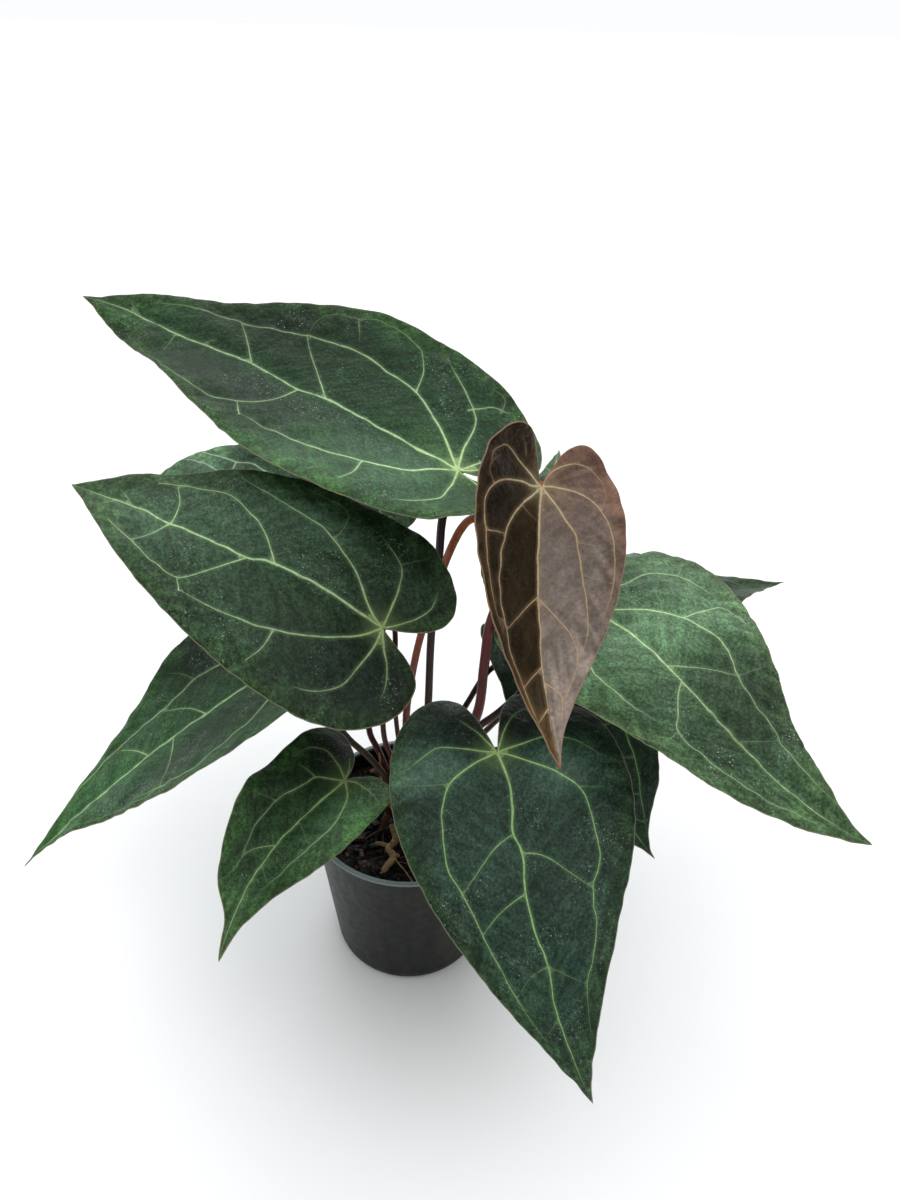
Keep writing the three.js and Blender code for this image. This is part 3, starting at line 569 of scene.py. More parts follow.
def sideways_of(line):
    """Unit vectors to the left of a flat line."""
    tangent = unit_tangents(line)
    return np.stack([-tangent[:, 1], tangent[:, 0]], axis=1)


def closed_loop(points):
    return np.vstack([points, points[:1]])


def smooth_step(x, low, high):
    share = np.clip((x - low) / (high - low), 0, 1)
    return share * share * (3 - 2 * share)


# Blade outline and surface, in flat coordinates: along the midrib and across it

def outline(leaf, side):
    """Margin on one side, from the tip round the lobe to the stalk, and where the sinus corner is."""
    length, lobe = leaf["length"], leaf["lobe"]
    reach = leaf["left"] if side > 0 else leaf["right"]
    mid = leaf["lobe_mid"] * reach
    wide = leaf["widest"] * length
    tip, sinus = math.radians(leaf["tip_angle"]), math.radians(leaf["sinus"])
    run = leaf["taper"] * length
    body = bezier(
        (length, 0), (length - run * math.cos(tip), run * math.sin(tip)),
        (wide + leaf["shoulder"] * length, reach), (wide, reach), 120,
    )
    shoulder = bezier(
        (wide, reach), (wide - ROUND * (wide + lobe), reach),
        (-lobe, mid + ROUND * (reach - mid)), (-lobe, mid), 60,
    )
    inner = bezier(
        (-lobe, mid), (-lobe, mid * (1 - ROUND)),
        (-0.5 * lobe * math.cos(sinus), 0.5 * lobe * math.sin(sinus)), (0, 0), 50,
    )
    points = np.vstack([body, shoulder[1:], inner[1:]])
    points[:, 1] *= side
    corner = 180 + int(50 * SINUS_CORNER)
    return points, corner


def polar_margin(leaf, side):
    """For a direction from the stalk: how far the margin is, and its share of the way from the tip."""
    points, corner = outline(leaf, side)
    along = lengths_along(points)
    x, y = points[:-1].T
    angle = np.maximum.accumulate(np.arctan2(np.abs(y), x) + 1e-9 * np.arange(len(x)))
    return angle, np.hypot(x, y), np.clip(along[:-1] / along[corner], 0, 1)


def margin_place(leaf, flat):
    """Share of the margin, from tip to sinus, and share of the way out to it, for flat points."""
    margin_share, edge_share = np.zeros(len(flat)), np.zeros(len(flat))
    for side in (1, -1):
        on = flat[:, 1] * side >= 0 if side > 0 else flat[:, 1] < 0
        angle, distance, share = polar_margin(leaf, side)
        own = np.arctan2(np.abs(flat[on, 1]), flat[on, 0])
        margin_share[on] = np.interp(own, angle, share)
        reach = np.interp(own, angle, distance)
        edge_share[on] = np.clip(np.hypot(flat[on, 0], flat[on, 1]) / np.maximum(reach, 1e-6), 0, 1)
    return margin_share, edge_share


def margin_wave(leaf, flat):
    margin_share, edge_share = margin_place(leaf, flat)
    waves = [uniform_spline([0, *leaf["waves"][half], 0], margin_share) for half in (0, 1)]
    return np.where(flat[:, 1] >= 0, waves[0], waves[1]) * edge_share ** 3


def blade_axes(leaf):
    heading, pitch, roll = (math.radians(leaf[key]) for key in ("heading", "pitch", "roll"))
    east, north, flatness = math.cos(heading), math.sin(heading), math.cos(pitch)
    along = np.array((east * flatness, north * flatness, math.sin(pitch)))
    level = np.array((-north, east, 0.0))
    across = level * math.cos(roll) + np.cross(along, level) * math.sin(roll)
    return along, across, np.cross(along, across)


def arc(curvature, distance):
    k = np.where(np.abs(curvature) < 1e-9, 1e-9, curvature)
    return np.sin(k * distance) / k, (1 - np.cos(k * distance)) / k


def blade_points(leaf, flat, lift):
    """Flat blade coordinates to space, lifted off the blade's middle surface."""
    along, across, normal = blade_axes(leaf)
    s, t = flat[:, 0], flat[:, 1]
    length = leaf["length"]
    in_lobe = s < 0
    lobe_bend, droop = math.radians(leaf["lobe_bend"]), math.radians(leaf["droop"])
    bend = np.where(in_lobe, lobe_bend / leaf["lobe"], droop / length)
    run, rise = arc(bend, np.abs(s))
    turn = np.where(in_lobe, -bend * np.abs(s), bend * s)
    run = np.where(in_lobe, -run, run)

    share = np.maximum(s, 0) / length
    sway, snake = math.tan(math.radians(leaf["sway"])) / 2, math.tan(math.radians(leaf["snake"])) / 3
    sideways = length * (sway * share ** 2 + snake * share ** 3)
    swing = np.arctan(2 * sway * share + 3 * snake * share ** 2)

    is_left = t >= 0
    fold = np.radians(np.where(is_left, *leaf["fold"]))
    curl = np.radians(np.where(is_left, *leaf["curl"])) / np.where(is_left, leaf["left"], leaf["right"])
    curl = np.where(np.abs(curl) < 1e-9, 1e-9, curl)
    distance = np.abs(t)
    softened = np.sqrt(distance ** 2 + CREASE ** 2) - CREASE
    out = (np.sin(fold + curl * distance) - np.sin(fold)) / curl * np.sign(t)
    high = (np.cos(fold) - np.cos(fold + curl * softened)) / curl
    twist = math.radians(leaf["twist"]) * np.clip(s / length, -0.3, 1)
    out, high = out * np.cos(twist) - high * np.sin(twist), out * np.sin(twist) + high * np.cos(twist)
    high = high + lift

    local_along = np.cos(turn)[:, None] * along + np.sin(turn)[:, None] * normal
    local_normal = np.cos(turn)[:, None] * normal - np.sin(turn)[:, None] * along
    local_across = np.cos(swing)[:, None] * across - np.sin(swing)[:, None] * local_along
    middle = np.array(leaf["at"], float) + run[:, None] * along + rise[:, None] * normal
    middle += sideways[:, None] * across
    return middle + out[:, None] * local_across + high[:, None] * local_normal


def blade_normals(leaf, flat):
    step = 0.4
    here, ahead, aside = (flat + np.array(d) for d in ((0, 0), (step, 0), (0, step)))
    points = [blade_points(leaf, p, margin_wave(leaf, p)) for p in (here, ahead, aside)]
    normals = np.cross(points[1] - points[0], points[2] - points[0])
    return normals / np.linalg.norm(normals, axis=1)[:, None]


# Veins by rule, in shares of length and width: three basal pairs and four side veins as start, end, height
BASAL_SHARES = [
    [(0.07, 0.24), (0.18, 0.46), (0.34, 0.57), (0.52, 0.5), (0.7, 0.3), (0.86, 0.12)],
    [(0.0, 0.34), (0.05, 0.62), (0.16, 0.8), (0.3, 0.8)],
]
LOBE_SHARES = [(-0.35, 0.2), (-0.62, 0.45), (-0.5, 0.68)]
LATERAL_SHARES = [(0.27, 0.36, 0.56), (0.41, 0.52, 0.49), (0.56, 0.68, 0.31), (0.7, 0.8, 0.17)]


def veins_by_rule(leaf):
    """Veins of a blade that the photograph hides."""
    length, lobe = leaf["length"], leaf["lobe"]
    basal, lateral = [], []
    for side, reach in ((1, leaf["left"]), (-1, leaf["right"])):
        w = side * reach
        basal += [[(x * length, y * w) for x, y in route] for route in BASAL_SHARES]
        basal.append([(x * lobe, y * w) for x, y in LOBE_SHARES])
        nudge = 0.02 * side * length
        lateral += [[(x0 * length + nudge, 0.0), (x1 * length, y * w)] for x0, x1, y in LATERAL_SHARES]
    return {"basal": basal, "lateral": lateral, "fine": []}


def vein_lines(leaf):
    """Every vein as (points, half widths, strengths), sampled along its curve."""
    scale = math.sqrt(leaf["length"] / USUAL_LENGTH) * leaf["looks"].get("vein_width", VEIN_WIDENING)
    veins = dict(leaf["veins"] or veins_by_rule(leaf))
    straight = [(leaf["length"] * share, 0.0) for share in (0.25, 0.5, 0.75, 0.985)]
    veins["midrib"] = [veins.get("midrib", straight)]
    lines = []
    for kind, routes in veins.items():
        for route in routes:
            points = [(0.0, 0.0), *route] if kind in ("basal", "midrib") else list(route)
            fine = uniform_spline(points, np.linspace(0, 1, 24 * len(points)))
            line = evenly(fine, LINE_STEP)
            share = np.linspace(0, 1, len(line))
            place = np.column_stack([line, np.full(len(line), leaf["length"])])
            stray = VEIN_STRAY * rough_noise(place, 5, 0.3) * np.sin(math.pi * share)
            line[:, 1] += stray
            width, strength = (low * (1 - share) + high * share for low, high in VEIN_KINDS[kind])
            width = scale * width * (1 + 0.35 * rough_noise(place, 3, 0.8))
            fade = 1 if kind == "lateral" else np.clip((1 - share) / 0.15, 0.25, 1)
            lines.append((line, width / 2, strength * fade))
    return lines


def nearest_on_lines(points, lines):
    """Least distance from each point to the veins' edges, with the strength of the nearest vein."""
    starts, half_a, strong_a = (np.concatenate([line[k][:-1] for line in lines]) for k in range(3))
    ends, half_b, strong_b = (np.concatenate([line[k][1:] for line in lines]) for k in range(3))
    span = ends - starts
    square = (span ** 2).sum(axis=1) + 1e-12
    gaps, strengths, halves = [], [], []
    for part in np.array_split(points, max(1, len(points) // 1500)):
        offset = part[:, None] - starts[None]
        share = np.clip((offset * span[None]).sum(axis=2) / square[None], 0, 1)
        distance = np.linalg.norm(offset - share[..., None] * span[None], axis=2)
        half = half_a + (half_b - half_a) * share
        gap = distance - half
        best = gap.argmin(axis=1)
        row = np.arange(len(part))
        gaps.append(gap[row, best])
        halves.append(half[row, best])
        strengths.append((strong_a + (strong_b - strong_a) * share)[row, best])
    return np.concatenate(gaps), np.concatenate(strengths), np.concatenate(halves)


def distance_to_line(points, line):
    flat_line = (line, np.zeros(len(line)), np.zeros(len(line)))
    return nearest_on_lines(points, [flat_line])[0]


def inside(points, polygon):
    """Which points lie inside a closed polygon."""
    x, y = points[:, 0][:, None], points[:, 1][:, None]
    x0, y0 = polygon[:, 0][None], polygon[:, 1][None]
    x1, y1 = np.roll(x0, -1), np.roll(y0, -1)
    crosses = (y0 > y) != (y1 > y)
    where = x0 + (y - y0) * (x1 - x0) / np.where(y1 == y0, 1e-12, y1 - y0)
    return (crosses & (x < where)).sum(axis=1) % 2 == 1


# Fine blade

def flat_mesh(leaf, lines):
    """Triangles over the flat blade whose edges follow the margin and both edges of each vein."""
    border = uneven_border(leaf)

    chains = []
    for line, half, _ in lines:
        side = sideways_of(line) * half[:, None]
        chains += [line, line + side, line - side]
    chains = [chain[inside(chain, border)] for chain in chains]

    step = FINE_STEP * math.sqrt(leaf["length"] / USUAL_LENGTH)
    columns = np.arange(-leaf["lobe"], leaf["length"], step)
    rows = np.arange(-leaf["right"], leaf["left"], step * math.sqrt(3) / 2)
    grid_x, grid_y = np.meshgrid(columns, rows)
    grid_x = grid_x + (np.arange(len(rows)) % 2)[:, None] * step / 2
    grid = np.stack([grid_x.ravel(), grid_y.ravel()], axis=1)
    grid = grid[inside(grid, border)]
    gap, _, _ = nearest_on_lines(grid, lines)
    far = (gap > 0.45 * step) & (distance_to_line(grid, closed_loop(border)) > 0.6 * step)
    grid = grid[far]

    points = [border]
    edges = []
    count = len(border)
    for chain in chains:
        edges += [(count + i, count + i + 1) for i in range(len(chain) - 1)
                  if np.linalg.norm(chain[i + 1] - chain[i]) < 2 * LINE_STEP]
        points.append(chain)
        count += len(chain)
    points.append(grid)
    everything = [Vector(p) for p in np.vstack(points).tolist()]
    flat, _, faces, _, _, _ = delaunay_2d_cdt(everything, edges, [list(range(len(border)))], 1, 1e-4)
    flat = np.array([(p.x, p.y) for p in flat])
    faces = np.array(faces)
    a, b, c = (flat[faces[:, k]] for k in range(3))
    area = (b[:, 0] - a[:, 0]) * (c[:, 1] - a[:, 1]) - (b[:, 1] - a[:, 1]) * (c[:, 0] - a[:, 0])
    faces[area < 0] = faces[area < 0][:, ::-1]
    return flat, faces[np.abs(area) > 1e-7]


def uneven_border(leaf):
    """The whole margin as one loop from the tip, nibbled inward a little here and there."""
    halves = []
    for side in (1, -1):
        line = evenly(outline(leaf, side)[0], LINE_STEP)
        along = lengths_along(line)
        inward = side * sideways_of(line)
        place = np.column_stack([along, np.full(len(line), 40.0 * side), np.full(len(line), leaf["length"])])
        fading = np.clip(np.minimum(along, along[-1] - along) / 9, 0, 1)
        depth = NIBBLE * (1 + 1.4 * rough_noise(place, 6, 0.5)) * fading
        pinch = leaf["pinch"][0 if side > 0 else 1]
        depth += pinch * np.sin(math.pi * np.clip(along / DRIP_TIP, 0, 1)) ** 2
        halves.append(line + inward * depth[:, None])
    return np.vstack([halves[0][:-1], halves[1][::-1][:-1]])


def border_edges(faces):
    """Directed edges that belong to one face only."""
    directed = {edge: True for face in faces for edge in zip(face, (*face[1:], face[0]))}
    return [edge for edge in directed if edge[::-1] not in directed]


def rough_noise(points, size, seed):
    place = points / size + seed
    return np.array([noise.noise(Vector(p)) for p in place.tolist()])


def crimps(leaf, flat, margin_share, edge_gap):
    """Small folds, from -1 to 1, that run inward from the margin and fade."""
    around = margin_share * (leaf["length"] + leaf["lobe"] + leaf["left"])
    side = 20 * np.sign(flat[:, 1]) + leaf["length"]
    place = np.column_stack([around / CRIMP_WIDTH, edge_gap / CRIMP_LENGTH, side])
    fading = 1 - smooth_step(edge_gap, 0.3 * CRIMP_LENGTH, 1.5 * CRIMP_LENGTH)
    return 1.6 * rough_noise(place, 1, 0.4) * fading


def build_blade(leaf, seed):
    lines = vein_lines(leaf)
    flat, faces = flat_mesh(leaf, lines)
    gap, strength, half = nearest_on_lines(flat, lines)
    border = uneven_border(leaf)
    edge_gap = distance_to_line(flat, closed_loop(border))
    margin_share, edge_share = margin_place(leaf, flat)

    flat3 = np.column_stack([flat, np.zeros(len(flat))])
    swell = smooth_step(gap, 0, QUILT_WIDTH) - 0.5
    near_edge = smooth_step(edge_gap, 0, CALM_EDGE)
    relief = QUILT_DEPTH * swell * near_edge * (0.5 + 0.5 * strength)
    x, y = flat[:, 0], np.abs(flat[:, 1])
    ridges = np.column_stack([x - y, 0.3 * (x + y), 9 * np.sign(flat[:, 1])])
    relief += SWELL_DEPTH * rough_noise(flat3, SWELL_SIZE, seed) * near_edge
    relief += leaf["looks"].get("ridges", RIDGE_DEPTH) * rough_noise(ridges, RIDGE_SIZE, seed + 9) * near_edge
    relief += RIPPLE_DEPTH * edge_share ** 3 * rough_noise(flat3, RIPPLE_SIZE, seed + 21)
    dome = np.clip(1 - ((gap + half) / np.maximum(half, 1e-3)) ** 2, 0, 1)

    crimp = crimps(leaf, flat, margin_share, edge_gap)
    relief += leaf["looks"].get("crimp", CRIMP_DEPTH) * crimp

    middle = blade_points(leaf, flat, margin_wave(leaf, flat))
    normals = blade_normals(leaf, flat)
    thick = MARGIN_THICKNESS + (BLADE_THICKNESS - MARGIN_THICKNESS) * smooth_step(edge_gap, 0, THIN_EDGE)
    upper = middle + normals * (relief + thick / 2 + VEIN_RISE * dome * strength)[:, None]
    lower = middle + normals * (relief - thick / 2 - VEIN_KEEL * dome * half)[:, None]

    count = len(flat)
    rim_edges = border_edges(faces.tolist())
    rim = sorted({a for edge in rim_edges for a in edge})
    rim_index = {a: 2 * count + i for i, a in enumerate(rim)}
    outward = np.zeros((count, 3))
    for a, b in rim_edges:
        push = np.cross(middle[b] - middle[a], normals[a])
        outward[a] += push
        outward[b] += push
    outward = outward[rim]
    outward /= np.linalg.norm(outward, axis=1)[:, None] + 1e-9
    rim_points = (upper[rim] + lower[rim]) / 2 + RIM_ROUND * outward

    polygons = [tuple(f) for f in faces.tolist()]
    polygons += [(a + count, c + count, b + count) for a, b, c in faces.tolist()]
    for a, b in rim_edges:
        ra, rb = rim_index[a], rim_index[b]
        polygons += [(a, ra, rb, b), (ra, a + count, b + count, rb)]
    low, high = (np.array(corner) / MM for corner in cad_box)
    vertices = np.clip(np.vstack([upper, lower, rim_points]), low + INSIDE, high - INSIDE)
    values = {
        "vein_gap": gap, "vein_strength": strength, "edge_gap": edge_gap,
        "length_share": flat[:, 0] / leaf["length"], "crimp": crimp,
    }
    attributes = {key: np.concatenate([v, v, v[rim]]) for key, v in values.items()}
    attributes["edge_gap"][2 * count:] = RIM_GAP
    uv = np.vstack([flat, flat, flat[rim]]) / UV_SPAN + 0.5
    is_lower = [0] * len(faces) + [1] * len(faces) + [0] * (2 * len(rim_edges))
    materials = [blade_material(leaf, False), blade_material(leaf, True)]
    blade = make_object(f"blade_{leaf['name']}", vertices, polygons, materials, attributes, uv, is_lower)
    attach(blade, BODY)
    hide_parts(f"leaf_{leaf['name']}")


# Mesh objects

def make_object(name, vertices, faces, materials, attributes=None, uv=None, slots=None, smooth=True):
    """An object from points in millimetres, with values per point, a flat map and its materials."""
    mesh = bpy.data.meshes.new(name)
    mesh.from_pydata((np.array(vertices) * MM).tolist(), [], [tuple(f) for f in faces])
    for key, values in (attributes or {}).items():
        layer = mesh.attributes.new(key, "FLOAT", "POINT")
        layer.data.foreach_set("value", np.array(values, np.float32))
    if uv is not None:
        layer = mesh.uv_layers.new(name="flat_map")
        corners = np.zeros(len(mesh.loops), np.int32)
        mesh.loops.foreach_get("vertex_index", corners)
        layer.data.foreach_set("uv", np.array(uv, np.float32)[corners].ravel())
    for material in materials:
        mesh.materials.append(material)
    if slots is not None:
        mesh.polygons.foreach_set("material_index", np.array(slots, np.int32))
    mesh.polygons.foreach_set("use_smooth", np.full(len(mesh.polygons), smooth))
    mesh.validate()
    mesh.update()
    piece = bpy.data.objects.new(name, mesh)
    bpy.context.scene.collection.objects.link(piece)
    return piece


def ring_faces(rings, sides):
    """Four-sided faces between each ring of points and the next."""
    faces = []
    for i in range(rings - 1):
        for k in range(sides):
            n = (k + 1) % sides
            faces.append((i * sides + k, i * sides + n, (i + 1) * sides + n, (i + 1) * sides + k))
    return faces


def circle(sides):
    """Cosines and sines of evenly spaced angles, one row for each."""
    angles = 2 * math.pi * np.arange(sides) / sides
    return np.stack([np.cos(angles), np.sin(angles)], axis=1)


def polar(distance, angle):
    return distance * np.array((math.cos(angle), math.sin(angle)))


def tube(line, radii, sides):
    """Closed tube round a line, with a cap at each end. Gives vertices, faces and the share of the way."""
    line = np.array(line, float)
    tangent = unit_tangents(line)
    reference = np.array((0.0, 0.0, 1.0)) if abs(tangent[0][2]) < 0.9 else np.array((1.0, 0.0, 0.0))
    across = np.cross(tangent[0], reference)
    turns = circle(sides)
    vertices = []
    for i, point in enumerate(line):
        across = across - tangent[i] * across.dot(tangent[i])
        across /= np.linalg.norm(across)
        other = np.cross(tangent[i], across)
        ring = turns[:, :1] * across + turns[:, 1:] * other
        vertices.append(point + ring * np.atleast_1d(radii[i])[:, None])
    count = len(line)
    faces = ring_faces(count, sides)
    faces.append(tuple(range(sides))[::-1])
    faces.append(tuple((count - 1) * sides + k for k in range(sides)))
    share = np.repeat(np.linspace(0, 1, count), sides)
    return np.vstack(vertices), faces, share


def joined(parts):
    """Several (vertices, faces, value) parts as one, with the values per vertex."""
    vertices, faces, values = [], [], []
    count = 0
    for part_vertices, part_faces, value in parts:
        vertices.append(part_vertices)
        faces += [tuple(i + count for i in face) for face in part_faces]
        values.append(np.broadcast_to(value, len(part_vertices)))
        count += len(part_vertices)
    return np.vstack(vertices), faces, np.concatenate(values)


# Materials

def srgb(colour):
    """A colour given as 0 to 255 in sRGB, as linear RGBA."""
    linear = [(c / 255 / 12.92) if c / 255 <= 0.04045 else ((c / 255 + 0.055) / 1.055) ** 2.4 for c in colour]
    return (*linear, 1.0)


class Shader:
    """The node tree of a material or world, with short ways to add its usual nodes."""

    def __init__(self, owner):
        owner.use_nodes = True
        self.owner = owner
        self.nodes = owner.node_tree.nodes
        self.links = owner.node_tree.links

    @functools.cached_property
    def flat(self):
        return self.add("UVMap", 0, {"uv_map": "flat_map"})

    @functools.cached_property
    def place(self):
        return self.add("TexCoord", "Object")

    def add(self, kind, output, settings=(), **inputs):
        """A new node's output. Inputs are named by their sockets, or s0, s1 and so on by number."""
        node = self.nodes.new("ShaderNode" + kind)
        for key, value in dict(settings).items():
            setattr(node, key, value)
        for key, value in inputs.items():
            self.feed(node.inputs[int(key[1:]) if key[1:].isdigit() else key.replace("_", " ")], value)
        return node.outputs[output]

    def feed(self, socket, value):
        if isinstance(value, bpy.types.NodeSocket):
            self.links.new(value, socket)
        else:
            socket.default_value = value

    def value(self, name):
        return self.add("Attribute", "Fac", {"attribute_name": name})

    def noise(self, vector, scale, detail=3.0, roughness=0.55):
        return self.add("TexNoise", "Fac", Vector=vector, Scale=scale, Detail=detail, Roughness=roughness)

    def cells(self, vector, scale):
        return self.add("TexVoronoi", "Distance", Vector=vector, Scale=scale)

    def vector(self, operation, a, b=(0, 0, 0)):
        """Vector maths. The length of a vector is a number, the rest are vectors."""
        output = "Value" if operation == "LENGTH" else "Vector"
        return self.add("VectorMath", output, {"operation": operation}, s0=a, s1=b)

    def scaled(self, colour, factor):
        rgb = colour if isinstance(colour, bpy.types.NodeSocket) else colour[:3]
        return self.add("VectorMath", 0, {"operation": "SCALE"}, s0=rgb, Scale=factor)

    def mapped(self, vector, kind="POINT", **places):
        return self.add("Mapping", 0, {"vector_type": kind}, Vector=vector, **places)

    def bent(self, vector, scale, amount):
        """The same coordinates, pushed about by a noise."""
        push = self.add("TexNoise", "Color", Vector=vector, Scale=scale)
        return self.vector("ADD", vector, self.scaled(self.vector("SUBTRACT", push, (0.5, 0.5, 0.5)), amount))

    def band(self, value, low, high, to_low=0.0, to_high=1.0):
        node = self.nodes.new("ShaderNodeMapRange")
        node.interpolation_type = "SMOOTHSTEP"
        for socket, number in zip(node.inputs, (value, low, high, to_low, to_high)):
            self.feed(socket, number)
        return node.outputs["Result"]

    def math(self, operation, a, b=0.0):
        return self.add("Math", 0, {"operation": operation}, s0=a, s1=b)

    def plus(self, *values):
        return functools.reduce(lambda a, b: self.math("ADD", a, b), values)

    def times(self, *values):
        return functools.reduce(lambda a, b: self.math("MULTIPLY", a, b), values)

    def mix(self, factor, a, b):
        return self.add("Mix", 2, {"data_type": "RGBA"}, s0=factor, s6=a, s7=b)

    def bump(self, height, strength, distance):
        return self.add("Bump", 0, Height=height, Strength=strength, Distance=distance)

    def finish(self, colour, roughness, **inputs):
        """The material, its surface fed with these sockets and constants."""
        for key, value in {"Base_Color": colour, "Roughness": roughness, **inputs}.items():
            self.feed(self.nodes["Principled BSDF"].inputs[key.replace("_", " ")], value)
        return self.owner


def new_material(name):
    return Shader(bpy.data.materials.new(name))


# How far each pattern swings the tone of a bronze and of a green blade, between two of its values: ripples,
# streaks and pebbles paint the shade and highlights of the blade's small relief, grain paints fine glints
# along with the skin's own fleck, and clouds and mottle are the blade's own tone
SKIN_AND_SHADE_SWINGS = {
    "clouds": (0.3, 0.7, 0.12, 0.12), "mottle": (0.3, 0.7, 0.12, 0.12),
    "grain": (0.35, 0.65, 0.14, 0.42), "pebbles": (0.55, 0.1, 0.04, 0.1),
    "ripples": (0.35, 0.65, 0.14, 0.24), "streaks": (0.35, 0.65, 0.04, 0.1),
}
RELIEFS = {"grain": 0.5, "pebbles": -0.6, "ripples": 1.2, "mottle": 0.6, "streaks": 0.4}
BRONZE_COLOURS = {
    "star": (206, 200, 160), "margin": (150, 122, 98), "red": (178, 84, 70), "under": (104, 62, 50),
}
GREEN_COLOURS = {"star": STAR_GREEN, "margin": (126, 124, 96), "under": (74, 104, 66)}
DUST = (170, 190, 180)
CRACKLE = (150, 176, 160)
PAINTED_SHEEN = (150, 162, 154)


def blade_material(leaf, is_lower):
    """Velvet blade: darker middle, fresher edge, pale veins with a soft halo, pebbled skin, dust specks,
    painted light and shade in soft patches and on its small relief, and a painted sheen.
    """
    looks = leaf["looks"]
    is_bronze = leaf["name"] == "bronze"
    colours = {key: srgb(c) for key, c in (BRONZE_COLOURS if is_bronze else GREEN_COLOURS).items()}
    shader = new_material(f"{'underside' if is_lower else 'velvet'}_{leaf['name']}")
    band, mix, plus, times, flat = shader.band, shader.mix, shader.plus, shader.times, shader.flat
    gap, strength, edge, share = map(shader.value, ("vein_gap", "vein_strength", "edge_gap", "length_share"))
    centred = shader.vector("SUBTRACT", flat, (0.5, 0.5, 0))
    from_star = shader.vector("LENGTH", centred)
    own = shader.mapped(flat, Location=(0, 0, leaf["length"] / 7))

    def noise_of(size, *more):
        return shader.noise(own, UV_SPAN / size, *more)

    turned = {"Rotation": (0, 0, math.radians(45)), "Scale": (3.4 / UV_SPAN, 15 / UV_SPAN, 1)}
    along_laterals = shader.mapped(shader.vector("ABSOLUTE", centred), "TEXTURE", **turned)
    patterns = {
        "clouds": noise_of(26, 4), "mottle": noise_of(4.5, 4, 0.6), "grain": noise_of(1.2, 3, 0.7),
        "pebbles": shader.cells(shader.bent(own, UV_SPAN / 5, 0.006), UV_SPAN / 2.2),
        "ripples": shader.noise(along_laterals, 1.0, 3), "streaks": shader.noise(along_laterals, 3.2, 2),
    }
    clouds, grain = patterns["clouds"], patterns["grain"]

    rim = srgb(looks["edge"])
    fresher = plus(band(edge, 6 if is_bronze else 11, 0), band(share, 0.6, 1.0, 0, 0.5))
    fresher = plus(fresher, band(clouds, 0.45, 0.75, 0, 0.4))
    colour = mix(fresher, srgb(looks["middle"]), rim)
    if is_bronze:
        # Painted sheen: one half of the bronze blade takes the lighter other colour, as the half that faces
        # the light.
        side = shader.add("SeparateXYZ", "Y", Vector=centred)
        side = plus(side, band(clouds, 0.3, 0.7, -0.0015, 0.0015))
        warmer = times(band(edge, 10, 0, 0, 0.7), band(share, 0.6, 0.2))
        warmer = plus(warmer, band(share, 0.3, -0.1, 0, 0.7))
        other = mix(warmer, srgb(looks["other"]), srgb(looks["warm"]))
        colour = mix(band(side, -0.0012, 0.0012), colour, other)

    # Painted light and shade: each zone lightens or darkens a soft patch of the blade, as light or shade
    # would.
    tone = 0.0
    for along, across, reach_along, reach_across, amount in looks.get("light_and_shade_zones", []):
        middle = (along / UV_SPAN + 0.5, across / UV_SPAN + 0.5, 0)
        reach = (reach_along / UV_SPAN, reach_across / UV_SPAN, 1)
        spot = shader.mapped(flat, "TEXTURE", Location=middle, Scale=reach)
        tone = plus(band(shader.vector("LENGTH", spot), 1, 0, 0, amount), tone)
    # This gain carries the painted light and shade of the zones and of the small relief, along with the
    # skin's own patterns.
    painted_light_and_skin_gain = shader.math("EXPONENT", tone)
    for key, (low, high, *swings) in SKIN_AND_SHADE_SWINGS.items():
        swing = swings[0 if is_bronze else 1]
        painted_light_and_skin_gain = times(painted_light_and_skin_gain, band(patterns[key], low, high, 1 - swing, 1 + swing))
    # Painted shade and light on the small folds at the margin, following the crimp.
    painted_light_and_skin_gain = times(painted_light_and_skin_gain, band(shader.value("crimp"), -0.6, 0.6, 0.72, 1.3))
    # Painted sheen: a pale grey veil where the painted light is strongest.
    colour = mix(band(tone, 0, 1.4, 0, 0.03 if is_bronze else 0.12), shader.scaled(colour, painted_light_and_skin_gain), srgb(PAINTED_SHEEN))

    # Veins take the same painted light and shade.
    vein = shader.scaled(srgb(looks["vein"]), shader.math("EXPONENT", times(tone, 0.45)))
    halo = times(band(gap, 1.5, 0.0), times(strength, 0.24))
    star = band(from_star, 14 / UV_SPAN, 1 / UV_SPAN, 0, 0.3)
    vein = mix(band(from_star, 26 / UV_SPAN, 2 / UV_SPAN, 0, 0.5), vein, colours["star"])
    colour = mix(plus(halo, star), colour, mix(0.5, rim, vein))
    broken = band(noise_of(1.3, 3), 0.3, 0.6, 0.62, 1.0)
    vein_line = times(band(gap, 0.12, -0.16), plus(strength, 0.1))
    colour = mix(times(vein_line, broken), colour, vein)

    margin = colours["margin"]
    if is_bronze:
        reddened = plus(band(from_star, 20 / UV_SPAN, 8 / UV_SPAN), band(share, 0.96, 1.0))
        margin = mix(reddened, margin, colours["red"])
    colour = mix(band(edge, 0.36, 0.1, 0, 0.7), colour, margin)

    large_dots = band(shader.cells(own, UV_SPAN / 1.9), 0.17, 0.08)
    small_dots = band(shader.cells(own, UV_SPAN / 1.2), 0.2, 0.1, 0, 0.6)
    patches = band(noise_of(22, 3), 0.47, 0.66, 0.06, looks["specks"])
    colour = mix(times(shader.math("MAXIMUM", large_dots, small_dots), patches), colour, srgb(DUST))
    wander = shader.math("ABSOLUTE", shader.math("SUBTRACT", noise_of(7, 4, 0.65), 0.5))
    colour = mix(times(band(wander, 0.014, 0.0), times(patches, 0.3)), colour, srgb(CRACKLE))
    if is_lower:
        colour = mix(0.6, colour, colours["under"])

